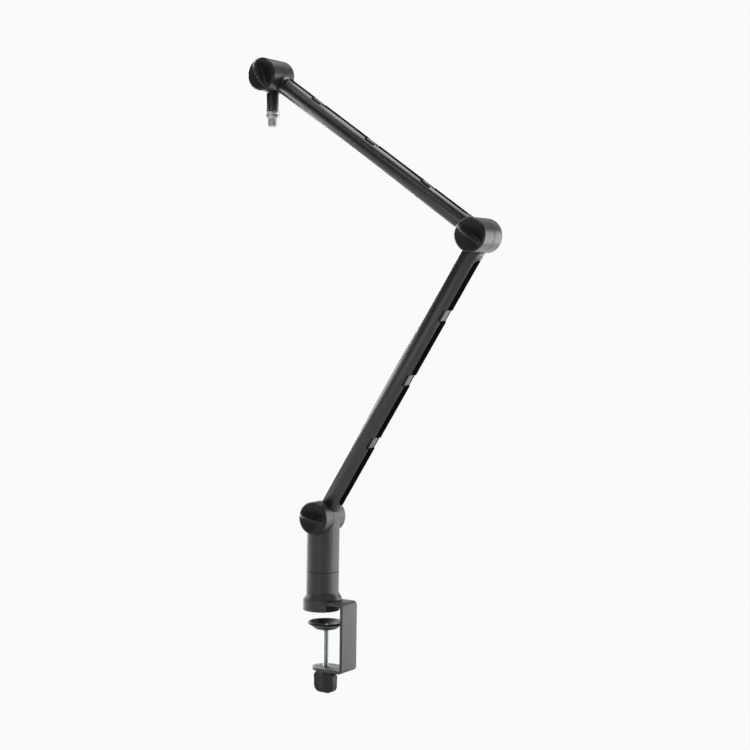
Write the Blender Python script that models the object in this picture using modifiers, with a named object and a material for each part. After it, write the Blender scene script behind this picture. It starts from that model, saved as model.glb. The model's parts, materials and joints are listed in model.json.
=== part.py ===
"""Desk-clamp boom arm for a microphone.

A C clamp holds a swivelling column. Two tubes, a lower and an upper arm, fold at three round friction
joints, each locked by a knob with a finger grip across its dished face. The head carries a short stem
that ends in a 5/8 inch thread adapter.

Frame: origin on the desk surface under the column, +Z up, +X towards the clamp's back plate and the
elbow, and -Y towards the knobs. Lengths are in metres and angles in degrees.
"""
import math

import bmesh
import bpy
from mathutils import Matrix, Vector

# ---------------------------------------------------------------- driving dimensions
GAP = 0.0003                      # clearance between pieces that touch
JOINT_GAP = 0.0004                # visible parting line of a round joint

# Column and its fixed collar
COLUMN_RADIUS = 0.0231
COLLAR_RADIUS = 0.0275
COLLAR_WALL = 0.0028
COLLAR_SKIRT = 0.0155             # height of the straight skirt
COLLAR_FLARE_TOP = 0.0265
SWIVEL_HEIGHT = 0.0550            # parting line between the collar and the column
PIVOT_HEIGHT = 0.1320             # axis of the base joint

# Clamp
STRIP_WIDTH = 0.0376
STRIP_THICKNESS = 0.0044
CLAMP_BACK = 0.0463               # outer face of the back plate, along X
CLAMP_TOP = 0.0148                # upper face of the top plate
CLAMP_BOTTOM = -0.0839            # lower face of the bottom plate
BEND_RADIUS = 0.0060
SCREW_X = 0.0068                  # clamp screw's axis
SCREW_RADIUS = 0.0040
PAD_RADIUS = 0.0260
PAD_RIM = -0.0160                 # height of the pressure pad's rim
PAD_DEPTH = 0.0100
THUMB_WIDTH = 0.0345
THUMB_HEIGHT = 0.0295
THUMB_THICKNESS = 0.0105
THUMB_TURN = -5.0                 # how far the wing is turned from the XZ plane

# Round friction joints: each has a front half, a rear half and a knob in front
JOINT_RADIUS = 0.0230
JOINT_LENGTH = 0.0516
KNOB_DEPTH = 0.0110               # from a knob's rim to its back
KNOB_FLANGE = 0.0022              # thickness of the rim that covers the front half's edge
KNOB_CHAMFER = 0.0018
KNOB_BODY_RADIUS = 0.0198         # part of a knob that sits inside the front half
DISH_RADIUS, DISH_DEPTH = 0.0200, 0.0034
GRIP_RADIUS, GRIP_SINK = 0.0225, 0.0090           # arc of a grip's crest, and its centre below the rim
GRIP_WAIST, GRIP_FLARE = 0.0010, 0.0014           # half thickness in the middle, and what the ends add
REAR_ROUND = 0.0025
BASE_FRONT, BASE_SEAM = -0.0284, -0.0080
ELBOW_FRONT, ELBOW_SEAM = -0.0345, -0.0058
HEAD_FRONT, HEAD_SEAM = -0.0290, -0.0030
BASE_GRIP, ELBOW_GRIP, HEAD_GRIP = -12.5, -37.0, -64.0     # angle of each knob's grip from level

# Arms
LOWER_LENGTH, LOWER_ANGLE, LOWER_RADIUS = 0.4625, 58.0, 0.0148
UPPER_LENGTH, UPPER_ANGLE, UPPER_RADIUS = 0.4110, 146.1, 0.0128
TUBE_PLANE = 0.0020               # the tubes' centre lines, along Y
TUBE_WALL = 0.0016
TUBE_RELIEF = 0.0240              # radius that a tube's end is cut to, round its joint
OTHER_HALF_RELIEF = 0.0236        # radius that clears the half joint of the neighbouring link
TUBE_START = 0.0150               # where a tube's blank starts, from its joint's axis
NECK_START, PLUG_START = 0.0120, 0.0100           # where a neck and a plug start inside their half joint
PLUG_LENGTH = 0.0500              # reach of a plug, from its joint's axis
TUBE_SCREW_PLACE = 0.0400         # screws that hold a plug, from its joint's axis
CHANNEL_WALL = 0.0015
CHANNEL_DEPTH = 0.0090
LOWER_CHANNEL, LOWER_NOTCH = 0.0150, 0.0226       # width of the cable channel, and at a clip
UPPER_CHANNEL, UPPER_NOTCH = 0.0110, 0.0170
LOWER_CHANNEL_ENDS = (0.0300, 0.0295)             # channel's ends, from the base and elbow axes
UPPER_CHANNEL_ENDS = (0.0315, 0.0270)             # channel's ends, from the elbow and head axes
LOWER_CLIP_TOP, UPPER_CLIP_TOP = 0.0109, 0.0119   # measured from the tube's centre line
NOTCH_LENGTH = 0.0180
SLOT_PLACE = 0.0290               # cable slot near the head, measured from the head joint's axis
SLOT_LENGTH, SLOT_WIDTH, SLOT_TURN = 0.0110, 0.0030, 40.0
LOWER_CLIPS = (0.1345, 0.2390, 0.3435)
UPPER_CLIPS = (0.1085, 0.2160, 0.3235)

# Head
STEM_RADIUS_TOP, STEM_RADIUS_END = 0.0095, 0.0088
STEM_END = 0.0500                 # measured from the head joint's axis
STUD_RADIUS = 0.00476             # 3/8 inch stud
THREAD_RADIUS = 0.00794           # 5/8 inch thread
FLANGE_RADIUS = 0.0108
FLANGE_HEIGHT = 0.0098
ADAPTER_END = 0.0711

BOLT_RADIUS = 0.0040
BUSHING_RADIUS = 0.0058
WASHER_RADIUS = 0.0190
ROUND_SEGMENTS = 40
SMALL_SEGMENTS = 16

elbow_x = LOWER_LENGTH * math.cos(math.radians(LOWER_ANGLE))
elbow_z = PIVOT_HEIGHT + LOWER_LENGTH * math.sin(math.radians(LOWER_ANGLE))
head_x = elbow_x + UPPER_LENGTH * math.cos(math.radians(UPPER_ANGLE))
head_z = elbow_z + UPPER_LENGTH * math.sin(math.radians(UPPER_ANGLE))

# ---------------------------------------------------------------- scene and materials
for old in list(bpy.data.objects):
    bpy.data.objects.remove(old, do_unlink=True)

parts = bpy.data.collections.new("boom_arm")
cutters = bpy.data.collections.new("cutters")
bpy.context.scene.collection.children.link(parts)
bpy.context.scene.collection.children.link(cutters)


def make_material(name, colour, roughness, metallic):
    material = bpy.data.materials.new(name)
    material.use_nodes = True
    shader = material.node_tree.nodes["Principled BSDF"]
    shader.inputs["Base Color"].default_value = (*colour, 1.0)
    shader.inputs["Roughness"].default_value = roughness
    shader.inputs["Metallic"].default_value = metallic
    return material


BLACK_METAL = make_material("black_powder_coat", (0.022, 0.022, 0.024), 0.55, 0.0)
GREY_METAL = make_material("dark_grey_powder_coat", (0.075, 0.075, 0.078), 0.60, 0.0)
BLACK_PLASTIC = make_material("black_plastic", (0.018, 0.018, 0.019), 0.50, 0.0)
CLIP_PLASTIC = make_material("grey_plastic", (0.10, 0.10, 0.10), 0.55, 0.0)
BLACK_RUBBER = make_material("black_rubber", (0.015, 0.015, 0.015), 0.85, 0.0)
ZINC = make_material("zinc_plated_steel", (0.62, 0.70, 0.72), 0.30, 1.0)
CHROME = make_material("chrome", (0.80, 0.80, 0.80), 0.15, 1.0)
STEEL = make_material("bright_steel", (0.55, 0.55, 0.56), 0.35, 1.0)
BRASS = make_material("brass", (0.70, 0.52, 0.22), 0.35, 1.0)
FIBRE = make_material("friction_fibre", (0.20, 0.12, 0.07), 0.80, 0.0)
WHITE_PLASTIC = make_material("natural_acetal", (0.75, 0.74, 0.70), 0.45, 0.0)


# ---------------------------------------------------------------- modelling helpers
def add_object(name, data, material=None, parent=None):
    """Link a new object: a part when it has a material, otherwise a hidden cutter."""
    obj = bpy.data.objects.new(name, data)
    if material is None:
        cutters.objects.link(obj)
        obj.hide_render = True
        obj.display_type = "WIRE"
    else:
        parts.objects.link(obj)
        data.materials.append(material)
    obj.parent = parent
    return obj


def add_empty(name, location, turn_y=0.0):
    empty = bpy.data.objects.new(name, None)
    parts.objects.link(empty)
    empty.location = location
    empty.rotation_euler = (0.0, math.radians(turn_y), 0.0)
    return empty


def arc(centre, radius, start, end, steps):
    """Points on an arc, angles in degrees."""
    angles = [math.radians(start + (end - start) * i / steps) for i in range(steps + 1)]
    return [(centre[0] + radius * math.cos(a), centre[1] + radius * math.sin(a)) for a in angles]


def turned(name, profile, material=None, parent=None, axis="Z", at=(0, 0, 0), segments=ROUND_SEGMENTS,
           closed=False):
    """Turn a profile of (radius, height) points, listed down the outer side, about an axis."""
    mesh = bpy.data.meshes.new(name)
    count = len(profile)
    edges = [(i, i + 1) for i in range(count - 1)]
    if closed:
        edges.append((count - 1, 0))
    start = 0.0 if material else 0.31 * math.tau / segments     # keeps a cutter's facets off a part's
    spot = Vector((math.cos(start), math.sin(start), 0.0))
    mesh.from_pydata([(r * spot.x, r * spot.y, h) for r, h in profile], edges, [])
    obj = add_object(name, mesh, material, parent)
    obj.location = at
    if axis == "Y":
        obj.rotation_euler = (math.radians(-90), 0.0, 0.0)
    if axis == "X":
        obj.rotation_euler = (0.0, math.radians(90), 0.0)
    screw = obj.modifiers.new("turn", "SCREW")
    screw.axis = "Z"
    screw.angle = math.tau
    screw.steps = segments
    screw.render_steps = segments
    screw.use_merge_vertices = True
    screw.merge_threshold = 0.00001
    screw.use_smooth_shade = True
    return obj


def cylinder(name, radius, low, high, **options):
    return turned(name, [(0.0, high), (radius, high), (radius, low), (0.0, low)], **options)


def sleeve(name, inner, outer, low, high, **options):
    profile = [(outer, high), (outer, low), (inner, low), (inner, high)]
    return turned(name, profile, closed=True, **options)


def box(name, low, high, material=None, parent=None):
    mesh = bpy.data.meshes.new(name)
    shape = bmesh.new()
    bmesh.ops.create_cube(shape, size=1.0)
    size = Vector(high) - Vector(low)
    middle = (Vector(high) + Vector(low)) / 2
    bmesh.ops.scale(shape, vec=size, verts=shape.verts)
    bmesh.ops.translate(shape, vec=middle, verts=shape.verts)
    shape.to_mesh(mesh)
    shape.free()
    return add_object(name, mesh, material, parent)


def extruded(name, outlines, low, high, material=None, parent=None, turn=(0, 0, 0), at=(0, 0, 0)):
    """Fill flat outlines (the first is the outside, the rest are holes) and extrude them along local Z."""
    curve = bpy.data.curves.new(name, "CURVE")
    curve.dimensions = "2D"
    curve.fill_mode = "BOTH"
    curve.extrude = (high - low) / 2
    for outline in outlines:
        spline = curve.splines.new("POLY")
        spline.points.add(len(outline) - 1)
        spline.use_cyclic_u = True
        for point, (x, y) in zip(spline.points, outline):
            point.co = (x, y, 0.0, 1.0)
    guide = bpy.data.objects.new(name + "_outline", curve)
    cutters.objects.link(guide)
    bpy.context.view_layer.update()
    evaluated = guide.evaluated_get(bpy.context.evaluated_depsgraph_get())
    mesh = bpy.data.meshes.new_from_object(evaluated)
    bpy.data.objects.remove(guide)
    shape = bmesh.new()
    shape.from_mesh(mesh)
    bmesh.ops.remove_doubles(shape, verts=shape.verts, dist=0.00001)
    bmesh.ops.translate(shape, vec=(0, 0, (low + high) / 2), verts=shape.verts)
    bmesh.ops.recalc_face_normals(shape, faces=shape.faces)
    shape.to_mesh(mesh)
    shape.free()
    mesh.materials.clear()
    obj = add_object(name, mesh, material, parent)
    obj.rotation_euler = [math.radians(a) for a in turn]
    obj.location = at
    return obj


def combine(target, tool, operation):
    modifier = target.modifiers.new(operation.lower(), "BOOLEAN")
    modifier.operation = operation
    modifier.solver = "EXACT"
    modifier.object = tool


def cut(target, *tools):
    for tool in tools:
        combine(target, tool, "DIFFERENCE")


def join(target, *tools):
    for tool in tools:
        combine(target, tool, "UNION")


def hexagon(radius):
    return arc((0, 0), radius, 0, 300, 5)


# ---------------------------------------------------------------- clamp and swivel base
def make_clamp_bracket():
    """Strip bent into a C, with round ends on the top and bottom plates."""
    inner_bend = BEND_RADIUS - STRIP_THICKNESS
    back, top, bottom, thick = CLAMP_BACK, CLAMP_TOP, CLAMP_BOTTOM, STRIP_THICKNESS
    outline = [(0.0, top)]
    outline += arc((back - BEND_RADIUS, top - BEND_RADIUS), BEND_RADIUS, 90, 0, 6)
    outline += arc((back - BEND_RADIUS, bottom + BEND_RADIUS), BEND_RADIUS, 0, -90, 6)
    outline += [(SCREW_X, bottom), (SCREW_X, bottom + thick)]
    outline += arc((back - BEND_RADIUS, bottom + BEND_RADIUS), inner_bend, -90, 0, 4)
    outline += arc((back - BEND_RADIUS, top - BEND_RADIUS), inner_bend, 0, 90, 4)
    outline += [(0.0, top - thick)]
    half = STRIP_WIDTH / 2
    bracket = extruded("clamp_bracket", [outline], -half, half, GREY_METAL, turn=(90, 0, 0))
    top_end = cylinder("top_plate_end", half, top - thick, top)
    bottom_end = cylinder("bottom_plate_end", half, bottom, bottom + thick, at=(SCREW_X, 0, 0))
    join(bracket, top_end, bottom_end)
    spindle_hole = cylinder("spindle_hole", 0.0063, 0.0, 0.03, segments=SMALL_SEGMENTS)
    screw_hole = cylinder("screw_hole", SCREW_RADIUS + GAP, -0.10, -0.07, at=(SCREW_X, 0, 0),
                          segments=SMALL_SEGMENTS)
    cut(bracket, spindle_hole, screw_hole)


def make_collar():
    """Fixed lower cover: skirt round the clamp's top plate, flare, and a neck under the column."""
    inside = COLLAR_RADIUS - COLLAR_WALL
    web_low = CLAMP_TOP + GAP
    web_high = web_low + 0.0044
    bore = 0.0073
    flare = [(COLLAR_RADIUS - (COLLAR_RADIUS - COLUMN_RADIUS) * (1 - math.cos(math.pi * t)) / 2,
              COLLAR_SKIRT + (COLLAR_FLARE_TOP - COLLAR_SKIRT) * t) for t in (1.0, 0.7, 0.3, 0.0)]
    profile = [(COLUMN_RADIUS, SWIVEL_HEIGHT)] + flare + [(COLLAR_RADIUS, 0.0004), (inside, 0.0004)]
    profile += [(inside, web_low), (0.0063, web_low), (0.0063, web_high)]
    profile += [(0.0190, web_high), (0.0190, 0.0480), (bore, 0.0480), (bore, 0.0532)]
    profile += [(0.0194, 0.0532), (0.0194, SWIVEL_HEIGHT)]
    collar = turned("base_collar", profile, BLACK_METAL, closed=True)
    slot = box("collar_slot", (0.012, -0.0191, -0.010), (0.040, 0.0191, CLAMP_TOP + 0.0009))
    cut(collar, slot)


def make_swivel():
    """Spindle, its nut under the top plate, and the bearings that the column turns on."""
    web_high = CLAMP_TOP + GAP + 0.0044
    flange_low = web_high + GAP
    profile = [(0.0, 0.0980), (0.0062, 0.0980), (0.0070, 0.0972), (0.0070, 0.0960), (0.0055, 0.0950),
               (0.0055, 0.0890), (0.0070, 0.0880), (0.0070, flange_low + 0.0030),
               (0.0110, flange_low + 0.0030), (0.0110, flange_low), (0.0060, flange_low),
               (0.0060, 0.0040), (0.0, 0.0040)]
    turned("swivel_spindle", profile, STEEL, segments=24)
    hole = arc((0, 0), 0.0063, 0, 342, 19)
    extruded("spindle_nut", [hexagon(0.0104), hole], 0.0042, CLAMP_TOP - STRIP_THICKNESS - GAP, STEEL)
    sleeve("thrust_washer", 0.0073, 0.0190, 0.0535, 0.0552, material=WHITE_PLASTIC, segments=32)
    sleeve("swivel_bushing", 0.0073, 0.0090, 0.0600, 0.0860, material=WHITE_PLASTIC, segments=24)
    pad_top = CLAMP_TOP - STRIP_THICKNESS - GAP
    pad = [(0.0, 0.0030), (0.0112, 0.0030), (0.0112, pad_top), (0.0244, pad_top), (0.0244, 0.0008),
           (0.0236, 0.0), (0.0, 0.0)]
    turned("desk_pad", pad, BLACK_RUBBER, segments=36)


def make_clamp_screw():
    """Screw with a turned collar that the pressure pad's retainer holds, and a winged thumb knob."""
    pad_floor = PAD_RIM - PAD_DEPTH
    neck = pad_floor + 0.0030
    thumb_top = CLAMP_BOTTOM - 0.0030
    profile = [(0.0, neck + 0.0030), (0.0026, neck + 0.0030), (0.0026, pad_floor - GAP),
               (SCREW_RADIUS, pad_floor - GAP), (SCREW_RADIUS, thumb_top - 0.0200), (0.0, thumb_top - 0.0200)]
    turned("clamp_screw", profile, ZINC, at=(SCREW_X, 0, 0), segments=SMALL_SEGMENTS)
    dish = [(0.0250, PAD_RIM), (PAD_RADIUS, PAD_RIM - 0.0008), (PAD_RADIUS, PAD_RIM - 0.0024),
            (0.0200, PAD_RIM - 0.0058), (0.0125, pad_floor), (0.0029, pad_floor),
            (0.0029, pad_floor + 0.0022), (0.0110, pad_floor + 0.0022), (0.0190, PAD_RIM - 0.0030),
            (0.0230, PAD_RIM)]
    turned("pressure_pad", dish, BLACK_PLASTIC, at=(SCREW_X, 0, 0), closed=True, segments=36)
    low = pad_floor + 0.0025
    sleeve("pad_retainer", 0.0029, 0.0055, low, low + 0.0020, material=STEEL, at=(SCREW_X, 0, 0),
           segments=SMALL_SEGMENTS)
    half, corner = THUMB_WIDTH / 2, 0.0085
    bottom = -THUMB_HEIGHT
    outline = arc((half - corner, -corner), corner, 90, 0, 6)
    outline += arc((half - 0.0105, bottom + 0.0105), 0.0105, 0, -90, 6)
    outline += arc((0.0105 - half, bottom + 0.0105), 0.0105, -90, -180, 6)
    outline += arc((corner - half, -corner), corner, 180, 90, 6)
    thick = THUMB_THICKNESS / 2
    thumb = extruded("thumb_knob", [outline], -thick, thick, BLACK_PLASTIC, turn=(90, 0, THUMB_TURN),
                     at=(SCREW_X, 0, thumb_top))
    hub = cylinder("thumb_hub", 0.0078, -0.0180, 0.0018, at=(SCREW_X, 0, thumb_top), segments=32)
    socket = cylinder("thumb_socket", SCREW_RADIUS + GAP, -0.0206, 0.0100, at=(SCREW_X, 0, thumb_top),
                      segments=SMALL_SEGMENTS)
    join(thumb, hub)
    cut(thumb, socket)


# ---------------------------------------------------------------- round friction joints
def half_profile(low, high, rounded=0.0):
    """Outer shape of a half joint, solid to its axis."""
    radius = JOINT_RADIUS
    top = arc((radius - rounded, high - rounded), rounded, 90, 0, 3) if rounded else [(radius, high)]
    return [(0.0, high)] + top + [(radius, low), (0.0, low)]


def front_half_tools(name, front, seam, **place):
    """Bore, washer recess, spring recess and knob recess of a front half."""
    low = front + KNOB_DEPTH + JOINT_GAP
    recess = KNOB_BODY_RADIUS + GAP
    profile = [(0.0, seam + 0.01), (WASHER_RADIUS + GAP, seam + 0.01), (WASHER_RADIUS + GAP, seam - 0.0011),
               (BUSHING_RADIUS + GAP, seam - 0.0011), (BUSHING_RADIUS + GAP, low + 0.0024),
               (0.0104, low + 0.0024), (0.0104, low), (recess, low), (recess, front - 0.01),
               (0.0, front - 0.01)]
    return turned(name + "_front_bore", profile, axis="Y", segments=24, **place)


def rear_half_tools(name, front, seam, **place):
    """Bore, washer recess, bolt head recess and cap recess of a rear half."""
    rear = front + JOINT_LENGTH
    profile = [(0.0, rear + 0.01), (0.0124, rear + 0.01), (0.0124, rear - 0.0024), (0.0070, rear - 0.0024),
               (0.0070, rear - 0.0085), (BUSHING_RADIUS + GAP, rear - 0.0085),
               (BUSHING_RADIUS + GAP, seam + 0.0011), (WASHER_RADIUS + GAP, seam + 0.0011),
               (WASHER_RADIUS + GAP, seam - 0.01), (0.0, seam - 0.01)]
    return turned(name + "_rear_bore", profile, axis="Y", segments=24, **place)


def make_grip(name, angle, knob):
    """Half-moon fin across a knob: its crest is an arc, and it widens towards its ends."""
    crest = arc((0.0, KNOB_DEPTH - GRIP_SINK), GRIP_RADIUS, 22, 158, 17)
    foot = KNOB_DEPTH - DISH_DEPTH - 0.0004
    widest = GRIP_WAIST + GRIP_FLARE
    grip = extruded(name, [crest + [(-0.0188, foot), (0.0188, foot)]], -widest - 0.001, widest + 0.001,
                    parent=knob)
    grip.rotation_euler = (math.radians(90), 0.0, math.radians(angle))
    steps = [i / 6 for i in range(-6, 7)]
    side = [(GRIP_RADIUS * t, GRIP_WAIST + GRIP_FLARE * t * t) for t in steps]
    waist = extruded(name + "_waist", [side + [(x, -y) for x, y in reversed(side)]], foot - 0.001,
                     KNOB_DEPTH + GRIP_RADIUS, parent=knob)
    waist.rotation_euler = (0.0, 0.0, math.radians(angle))
    combine(grip, waist, "INTERSECT")
    return grip


def make_knob(name, front, grip_angle, empty):
    """Dished knob with a proud grip across its face, and the brass insert in its back."""
    radius, depth, chamfer = JOINT_RADIUS, KNOB_DEPTH, KNOB_CHAMFER
    swing = 2 * math.degrees(math.atan(DISH_DEPTH / DISH_RADIUS))
    dish_arc = DISH_RADIUS / math.sin(math.radians(swing))
    dish = [(dish_arc * math.sin(math.radians(swing * t)),
             depth - DISH_DEPTH + dish_arc * (1 - math.cos(math.radians(swing * t))))
            for t in (0, 0.33, 0.67, 1)]
    profile = dish + [(radius - chamfer, depth), (radius, depth - chamfer), (radius, depth - KNOB_FLANGE),
                      (KNOB_BODY_RADIUS, depth - KNOB_FLANGE), (KNOB_BODY_RADIUS, 0.0),
                      (0.0082, 0.0), (0.0082, 0.0044), (0.0, 0.0044)]
    knob = turned(name, profile, BLACK_PLASTIC, empty)
    knob.location = (0, front + depth, 0)
    knob.rotation_euler = (math.radians(90), 0.0, 0.0)
    join(knob, make_grip(name + "_grip", grip_angle, knob))
    hole = arc((0, 0), BOLT_RADIUS + GAP, 0, 337.5, 15)
    insert = extruded(name + "_insert", [hexagon(0.0079), hole], 0.0, 0.0041, BRASS, empty)
    insert.location = (0, front + depth, 0)
    insert.rotation_euler = (math.radians(90), 0.0, 0.0)


def make_joint_fittings(name, front, seam, empty):
    """Bolt, bushing, friction washer, disc spring and rear cap of one joint."""
    rear = front + JOINT_LENGTH
    half_low = front + KNOB_DEPTH + JOINT_GAP
    bolt = [(0.0, rear - 0.0031), (0.0058, rear - 0.0031), (0.0064, rear - 0.0037), (0.0064, rear - 0.0082),
            (BOLT_RADIUS, rear - 0.0082), (BOLT_RADIUS, front + KNOB_DEPTH - 0.0040),
            (0.0, front + KNOB_DEPTH - 0.0040)]
    turned(name + "_pivot_bolt", bolt, STEEL, empty, axis="Y", segments=SMALL_SEGMENTS)
    sleeve(name + "_bushing", BOLT_RADIUS + GAP, BUSHING_RADIUS, half_low + 0.0030, rear - 0.0088,
           material=WHITE_PLASTIC, parent=empty, axis="Y", segments=SMALL_SEGMENTS)
    sleeve(name + "_friction_washer", 0.0095, WASHER_RADIUS, seam - 0.0008, seam + 0.0008,
           material=FIBRE, parent=empty, axis="Y", segments=24)
    disc = [(0.0100, half_low + 0.0006), (0.0100, half_low - 0.0001), (0.0046, half_low + 0.0012),
            (0.0046, half_low + 0.0019)]
    turned(name + "_disc_spring", disc, STEEL, empty, axis="Y", segments=SMALL_SEGMENTS, closed=True)
    cap = [(0.0, rear), (0.0114, rear), (0.0120, rear - 0.0006), (0.0120, rear - 0.0020), (0.0, rear - 0.0020)]
    turned(name + "_rear_cap", cap, BLACK_PLASTIC, empty, axis="Y", segments=24)


def make_column(empty):
    """Swivelling column whose head is the rear half of the base joint."""
    height = PIVOT_HEIGHT
    low = SWIVEL_HEIGHT + JOINT_GAP
    profile = [(0.0, -0.0020), (COLUMN_RADIUS, -0.0020), (COLUMN_RADIUS, low - height), (0.0190, low - height),
               (0.0190, 0.0700 - height), (0.0093, 0.0700 - height), (0.0093, 0.1000 - height),
               (0.0, 0.1000 - height)]
    column = turned("column", profile, BLACK_METAL, empty)
    rear = BASE_FRONT + JOINT_LENGTH
    rear_half = turned("column_rear_half", half_profile(BASE_SEAM - 0.0030, rear, REAR_ROUND),
                       parent=empty, axis="Y")
    front_space = cylinder("column_front_space", OTHER_HALF_RELIEF, -0.060, BASE_SEAM + JOINT_GAP / 2,
                           parent=empty, axis="Y")
    join(column, rear_half)
    cut(column, front_space, rear_half_tools("column", BASE_FRONT, BASE_SEAM, parent=empty))
    grub_height = 0.0920 - height
    cut(column, cylinder("grub_hole", 0.0030 + GAP, 0.0050, 0.0300, axis="Y", at=(0, 0, grub_height),
                         parent=empty, segments=SMALL_SEGMENTS))
    grub = [(0.0, 0.0222), (0.0030, 0.0222), (0.0030, 0.0072), (0.0016, 0.0060), (0.0, 0.0060)]
    turned("swivel_grub_screw", grub, STEEL, empty, axis="Y", at=(0, 0, grub_height), segments=SMALL_SEGMENTS)


# ---------------------------------------------------------------- arms
def round_with_flat(radius, flat, steps):
    """Circle cut off by a straight side at local X = flat."""
    start = math.degrees(math.acos(flat / radius))
    return arc((0, 0), radius, start, 360 - start, steps)


def make_knuckle(name, empty, along, away, own, other, tube_radius, bore_tool, offset=TUBE_PLANE):
    """Half joint with the plug that holds a tube.

    along is the joint's place on the arm's centre line, away is +1 or -1 towards the tube, and own and
    other are the (low, high) reach along Y of this half and of the neighbouring link's half.
    """
    if own[0] > other[0]:
        shape = half_profile(own[0] - 0.0030, own[1], REAR_ROUND)
    else:
        shape = half_profile(own[0], own[1] + 0.0030)
    knuckle = turned(name, shape, BLACK_METAL, empty, axis="Y", at=(0, 0, along))
    near = sorted((along + away * NECK_START, along + away * (TUBE_RELIEF + 0.0010)))
    neck = extruded(name + "_neck", [arc((0, 0), tube_radius, 4.5, 355.5, 39)], near[0], near[1],
                    parent=empty, at=(0, offset, 0))
    combine(neck, cylinder(name + "_neck_reach", TUBE_RELIEF - GAP, *own, axis="Y", at=(0, 0, along),
                           parent=empty), "INTERSECT")
    plug_radius = tube_radius - TUBE_WALL - GAP
    flat = tube_radius - CHANNEL_DEPTH - CHANNEL_WALL - GAP
    ends = sorted((along + away * PLUG_START, along + away * PLUG_LENGTH))
    plug = extruded(name + "_plug", [round_with_flat(plug_radius, flat, 24)], ends[0], ends[1], parent=empty,
                    at=(0, offset, 0))
    space = cylinder(name + "_space", OTHER_HALF_RELIEF, *sorted(other), axis="Y", at=(0, 0, along),
                     parent=empty)
    join(knuckle, neck, plug)
    cut(knuckle, space, bore_tool)
    return knuckle


def tube_hollow(radius, channel):
    """Inside of a tube: round, with room left for the walls and floor of the cable channel."""
    inside = radius - TUBE_WALL
    wall = channel / 2 + CHANNEL_WALL
    flat = radius - CHANNEL_DEPTH - CHANNEL_WALL
    start = math.degrees(math.asin(wall / inside))
    return arc((0, 0), inside, start, 360 - start, 22) + [(flat, -wall), (flat, wall)]


def make_tube(name, empty, length, radius, channel, notch, channel_ends, clips):
    """Tube with an open cable channel along local +X, widened at each cable clip."""
    outline = arc((0, 0), radius, 0, 351, 39)
    hollow = tube_hollow(radius, channel)
    tube = extruded(name, [outline, hollow], TUBE_START, length - TUBE_START, BLACK_METAL, empty,
                    at=(0, TUBE_PLANE, 0))
    for end, along in (("start", 0.0), ("end", length)):
        cut(tube, cylinder(f"{name}_{end}_relief", TUBE_RELIEF, -0.05, 0.05, axis="Y", at=(0, 0, along),
                           parent=empty))
    half = channel / 2
    first, last = channel_ends[0], length - channel_ends[1]
    slot = arc((last - half, 0.0), half, 90, -90, 8) + arc((first + half, 0.0), half, -90, -270, 8)
    floor = radius - CHANNEL_DEPTH
    slot_tool = extruded(name + "_channel", [slot], floor, radius + 0.005, parent=empty)
    slot_tool.rotation_euler = Matrix(((0, 0, 1), (0, 1, 0), (-1, 0, 0))).to_euler()
    slot_tool.location = (0, TUBE_PLANE, first + last)
    cut(tube, slot_tool)
    for index, along in enumerate(clips, start=1):
        pocket = box(f"{name}_notch_{index}", (floor + 0.0002, -notch / 2, along - NOTCH_LENGTH / 2),
                     (radius + 0.01, notch / 2, along + NOTCH_LENGTH / 2), parent=empty)
        pocket.location = (0, TUBE_PLANE, 0)
        cut(tube, pocket)
    return tube


def make_clips(prefix, empty, radius, channel, top, positions):
    """Bridges across the channel that keep a cable in, one at each notch."""
    half = channel / 2 - GAP
    floor = radius - CHANNEL_DEPTH + 2 * GAP
    leg, corner = 0.0018, 0.0010
    outline = [(floor, -half), (top - corner, -half), (top, corner - half), (top, half - corner),
               (top - corner, half), (floor, half), (floor, half - leg)]
    crown = top - leg
    inner = half - leg
    rise = min(inner, crown - floor - 0.0004)
    outline += [(crown - rise + rise * math.cos(math.radians(a)), inner * math.sin(math.radians(a)))
                for a in (90, 67.5, 45, 22.5, 0, -22.5, -45, -67.5, -90)]
    outline.append((floor, leg - half))
    half_length = NOTCH_LENGTH / 2 - 0.0006
    for index, along in enumerate(positions, start=1):
        extruded(f"{prefix}_clip_{index}", [outline], -half_length, half_length, CLIP_PLASTIC, empty,
                 at=(0, TUBE_PLANE, along))


def make_tube_screws(prefix, empty, tube, radius, ends):
    """Countersunk screws through the back of the tube into each plug."""
    for end, along, knuckle in ends:
        hole = cylinder(f"{prefix}_{end}_screw_hole", 0.0015 + GAP, radius - 0.0080, radius + 0.005, axis="Y",
                        at=(0, TUBE_PLANE, along), parent=empty, segments=SMALL_SEGMENTS)
        top = radius - 0.0004
        sink = turned(f"{prefix}_{end}_screw_sink",
                      [(0.0, top + 0.002), (0.0030 + GAP, top + 0.002), (0.0030 + GAP, top - 0.0002),
                       (0.0015 + GAP, top - 0.0017), (0.0, top - 0.0017)],
                      parent=empty, axis="Y", at=(0, TUBE_PLANE, along), segments=SMALL_SEGMENTS)
        cut(tube, hole, sink)
        cut(knuckle, hole)
        screw = [(0.0, top), (0.0030, top), (0.0030, top - 0.0003), (0.0015, top - 0.0018),
                 (0.0015, radius - 0.0076), (0.0, radius - 0.0076)]
        turned(f"{prefix}_{end}_screw", screw, STEEL, empty, axis="Y", at=(0, TUBE_PLANE, along),
               segments=SMALL_SEGMENTS)


def halves(front, seam):
    """Reach along Y of a joint's front half and rear half."""
    return ((front + KNOB_FLANGE + JOINT_GAP, seam - JOINT_GAP / 2),
            (seam + JOINT_GAP / 2, front + JOINT_LENGTH))


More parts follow.
